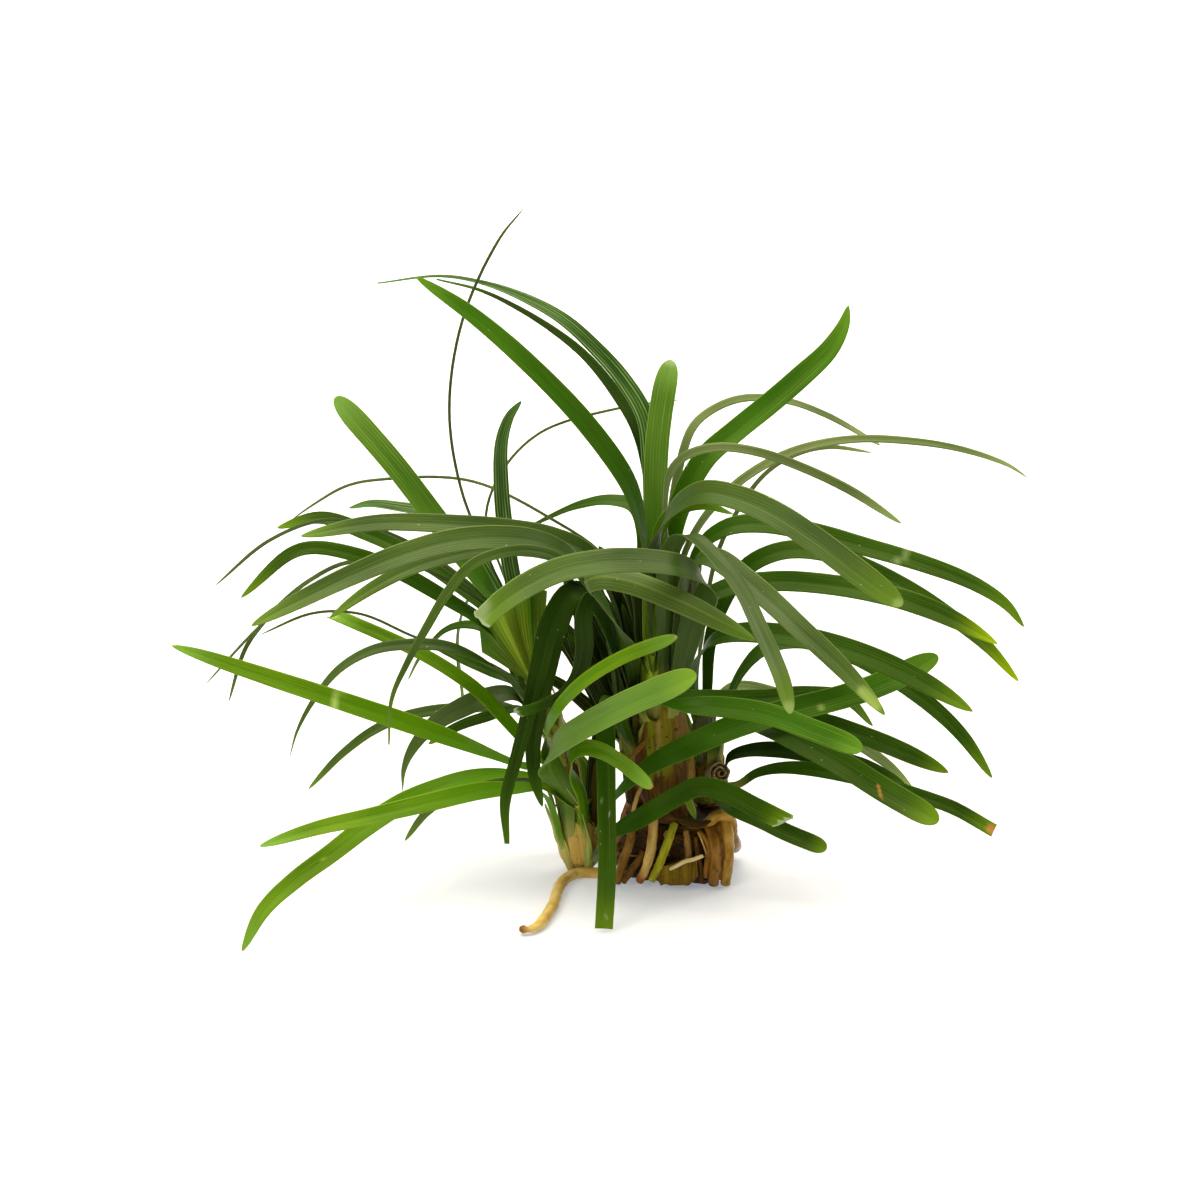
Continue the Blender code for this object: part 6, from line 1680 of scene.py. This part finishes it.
# %% Folded roots
FRONT_ROOTS = [
    # finish, diameter, places as seen from the front
    ("tan", 1.8, [(-7.9, 7.4, -7.4), (-8.4, 4.6, -8.1), (-9.3, 2, -8.4), (-10.2, -1.0, -8.2),
     (-10.7, -2.6, -7.8)]),
    ("brown", 1.5, [(-5.8, 3.0, -8.0), (-7.0, 1.0, -8.7), (-8.2, -0.6, -8.8), (-9.6, -2.5, -8.2)]),
    ("cream", 1.9, [(-3.8, 9.8, -7.9), (-4.1, 7.4, -8.9), (-4.6, 2.9, -9.3), (-5.6, -0.4, -9.3),
     (-6.6, -2.4, -8.8)]),
    ("green", 1.7, [(-0.2, 8.2, -8.4), (-0.9, 6.2, -9.6), (-1.9, 3.5, -9.9), (-3.1, 0.5, -9.8),
     (-4.4, -2.2, -9.2)]),
    ("tan", 1.3, [(1.8, 6.8, -9.2), (2.1, 4.5, -9.9), (2.3, 1.8, -9.9), (2.2, -0.4, -9.3)]),
    ("white", 0.85, [(-1.0, -0.2, -10.0), (0.5, 0.6, -10.9), (1.6, 1.2, -11.0), (3.0, 1.5, -11.0),
     (4.9, 2.2, -10.3)]),
    ("cream", 0.8, [(-6.2, 14.8, -5.8), (-6.9, 13.4, -7.2), (-7.4, 11.8, -7.8), (-7.9, 9.8, -7.4)]),
    ("cream", 0.3, [(4.0, 6.5, -9.8), (4.6, 5.2, -10.6), (5.2, 3.6, -10.8), (5.9, 1.6, -10.4)]),
    ("amber", 5.4, [(6.9, 9.0, -6.2), (7.6, 6.0, -6.9), (7.8, 2.0, -7.1), (7.7, -1.2, -7.0)]),
    ("glossy", 2.3, [(8.9, 9.2, -7.6), (9.4, 6.6, -8.6), (9.5, 2.2, -8.9), (9.2, -1.0, -8.8),
     (9.0, -2.8, -8.3)]),
    ("amber", 2.4, [(5.6, 8.4, -8.4), (6.8, 5.2, -9.7), (7.2, 1.2, -9.9), (6.9, -1.4, -9.7),
     (6.8, -2.8, -9.2)]),
    ("glossy", 2.3, [(5.6, 7.9, -8.9), (7.2, 9.3, -8.7), (8.8, 9.6, -8.0), (10.0, 8.4, -7.2),
     (10.3, 5.8, -6.4)]),
    ("amber", 1.2, [(4.2, 6.6, -9.2), (5.5, 5.1, -10.2), (6.0, 2.8, -10.4), (5.6, 0.4, -9.9),
     (5.4, -1.6, -9.4)]),
    ("brown", 1.1, [(3.6, 5.6, -9.0), (4.0, 3.0, -9.6), (4.4, 0.4, -9.6), (4.8, -2.6, -9.2)]),
]
SIDE_ROOTS = [
    # finish, diameter, points as x, y, z
    ("amber", 2.6, [(9.6, -5.0, 9.2), (10.4, -2.0, 6.0), (10.7, 1.6, 3.6), (10.9, 5.0, 2.4)]),
    ("brown", 1.8, [(8.0, 7.6, 9.8), (5.0, 8.8, 7.4), (0.6, 9.6, 5.8), (-4.0, 9.9, 5.4)]),
    ("cream", 1.5, [(4.0, 8.6, 2.0), (-0.6, 9.4, 2.4), (-5.0, 10.2, 1.8), (-8.0, 10.0, 2.6)]),
    ("brown", 1.7, [(-8.4, 9.6, 9.0), (-9.6, 6.0, 6.4), (-10.2, 2.0, 4.6), (-10.9, -2.6, 5.2)]),
    ("tan", 1.4, [(-9.8, 7.6, 2.0), (-10.4, 3.6, 1.8), (-10.9, -0.6, 1.6), (-11.2, -4.6, 3.2)]),
]


def bulged(diameter):
    """A root's radius along its length: thickest in the middle, as on its solid."""
    return lambda share: diameter / 2 * (0.84 + 0.16 * math.sin(math.pi * share))


folded_roots = [(finish, diameter, [sighted(*stop) for stop in stops])
                for finish, diameter, stops in FRONT_ROOTS]
folded_roots += [(finish, diameter, [Vector(stop) for stop in stops])
                 for finish, diameter, stops in SIDE_ROOTS]
for number, (finish, diameter, stops) in enumerate(folded_roots, 1):
    skin = smooth_rod(stops, bulged(diameter), 60, float(number), lumps=0.05, sides=20)
    make_piece(f"folded_root_{number:02d}", [skin], [ROOT_FINISHES[finish]], "root")


def wandering_root(angle, height, turn, fall, length, diameter, rng):
    """A thin root that wanders over the side of the block."""
    stops = []
    heading = rng.uniform(-0.3, 0.3)
    for _ in range(max(4, round(length / 1.2))):
        stops.append(soil_place(angle, height, diameter * 0.35 + 0.15))
        heading += rng.uniform(-0.55, 0.55)
        angle += (turn + 0.09 * heading)
        height = min(max(height + fall * rng.uniform(0.3, 1.5), diameter / 2 + 0.15), BLOCK_HEIGHT - 0.3)
    taper = lambda share: diameter / 2 * (1 - 0.55 * share)
    return smooth_rod(stops, taper, 5 * len(stops), rng.uniform(0, 50), sides=7)


WANDERING_ROOTS = [
    # how many, then the least and most of: angle, height, turn, fall, length and diameter
    (30, (0, 2 * math.pi), (3, 11), (-0.1, 0.1), (-1.1, 0.1), (6, 16), (0.45, 0.95)),
    (130, (0, 2 * math.pi), (1, 11), (-0.12, 0.12), (-0.8, 0.5), (4, 12), (0.12, 0.3)),
    (110, (-1.95, -0.75), (8.4, 11.2), (-0.12, 0.12), (-0.6, 0.2), (3, 8), (0.12, 0.34)),
]
middle_roots, fine_roots, top_fibres = (
    [wandering_root(*[rng.uniform(*span) for span in spans], rng) for _ in range(count)]
    for count, *spans in WANDERING_ROOTS)
make_piece("top_fibres", top_fibres, [ROOT_FINISHES["mat"]], "root")
make_piece("middle_roots", middle_roots[::2], [ROOT_FINISHES["brown"]], "root")
make_piece("middle_roots_pale", middle_roots[1::2], [ROOT_FINISHES["cream"]], "root")
make_piece("fine_roots", fine_roots, [ROOT_FINISHES["brown"]], "root")
print(len(folded_roots), "folded,", len(middle_roots), "middle and", len(fine_roots), "fine roots")

# %% [markdown]
# ## A papery flake and a torn mat
#
# Low on the front of the block lies an olive-brown flake of old leaf, torn like paper at its right edge.
# Over the upper edge of the block hangs what is left of a mat of roots, brown and felted.

# %% The flake and the mat
FLAKE_LEFT = ((0, 0.3, 1), (-3.2, -3.9, -2.9))          # shares from top to bottom, and mm across
FLAKE_RIGHT = ((0, 0.62, 0.84, 1), (3.9, 4.1, 3.4, 2.5))
FLAKE_TOP, FLAKE_BOTTOM = 1.3, -3.15                    # mm up, as seen from the front
FLAKE_ROWS, FLAKE_COLUMNS = 40, 40
FLAKE_TEETH, FLAKE_TOOTH = 11, 0.28                     # along the right edge; mm
FLAKE_THICKNESS = 0.2


def flake_skin(seed):
    """A flat, slightly cockled flake against the front of the block."""
    rings, mm, share_values = [], [], []
    for row in range(FLAKE_ROWS + 1):
        t = row / FLAKE_ROWS
        left = float(np.interp(t, *FLAKE_LEFT)) + 0.5 * noise.noise(Vector((seed, t * 5, 7)))
        tooth = FLAKE_TOOTH * abs((t * FLAKE_TEETH) % 1 - 0.5) * (1 + noise.noise(Vector((t * 9, seed, 0))))
        right = float(np.interp(t, *FLAKE_RIGHT)) - tooth
        front, back = [], []
        for column in range(FLAKE_COLUMNS):
            s = column / (FLAKE_COLUMNS - 1)
            across = left + (right - left) * s
            top = FLAKE_TOP - 1.3 * (1 - s) ** 1.5 + 0.25 * noise.noise(Vector((across, seed, 3)))
            bottom = FLAKE_BOTTOM + 0.55 * noise.noise(Vector((across * 0.8, seed, 9)))
            up = top + (bottom - top) * t
            cockle = 0.35 * noise.noise(Vector((across * 0.5, up * 0.5, seed)))
            depth = -9.95 - 0.12 * across - 0.5 * math.sin(math.pi * s) + cockle
            place = sighted(across, up, depth)
            place.z = max(place.z, 0.12)
            front.append(tuple(place))
            back.append(tuple(place + Vector((0, FLAKE_THICKNESS, 0))))
            mm.append((across, up, seed))
            share_values.append((s * 2 - 1, t, 0.0))
        rings.append(front + back[::-1])
        mm.extend(mm[-FLAKE_COLUMNS:][::-1])
        share_values.extend(share_values[-FLAKE_COLUMNS:][::-1])
    return ring_skin(rings, mm, share_values)


OLD_FLAKE = sheath_finish("Rotting leaf flake, olive brown", "#4c3a08", "#71590e", "#8f7820", "#6e3c14", 0.8,
                          0.5, green_from=1.05)
FELTED_MAT = sheath_finish("Felted root mat", "#2a1a08", "#523717", "#7a5a2a", "#5a5018", 0.2, 0.8,
                           roughness=0.8)
make_piece("leaf_flake", [flake_skin(2.0)], [OLD_FLAKE], "papery_sheath")
mat_route = [(-3.2, 8.8, -8.6), (-1.2, 9.0, -9.3), (1.4, 8.5, -9.9), (3.2, 7.7, -10.2), (5.0, 7.9, -10.2),
             (6.2, 8.6, -9.6)]
make_piece("root_mat", [ribbon_skin(mat_route, (1.2, 2.6, 3.0, 2.8, 2.4, 1.2), 3.0)], [FELTED_MAT], "root")
print("flake and mat laid on")
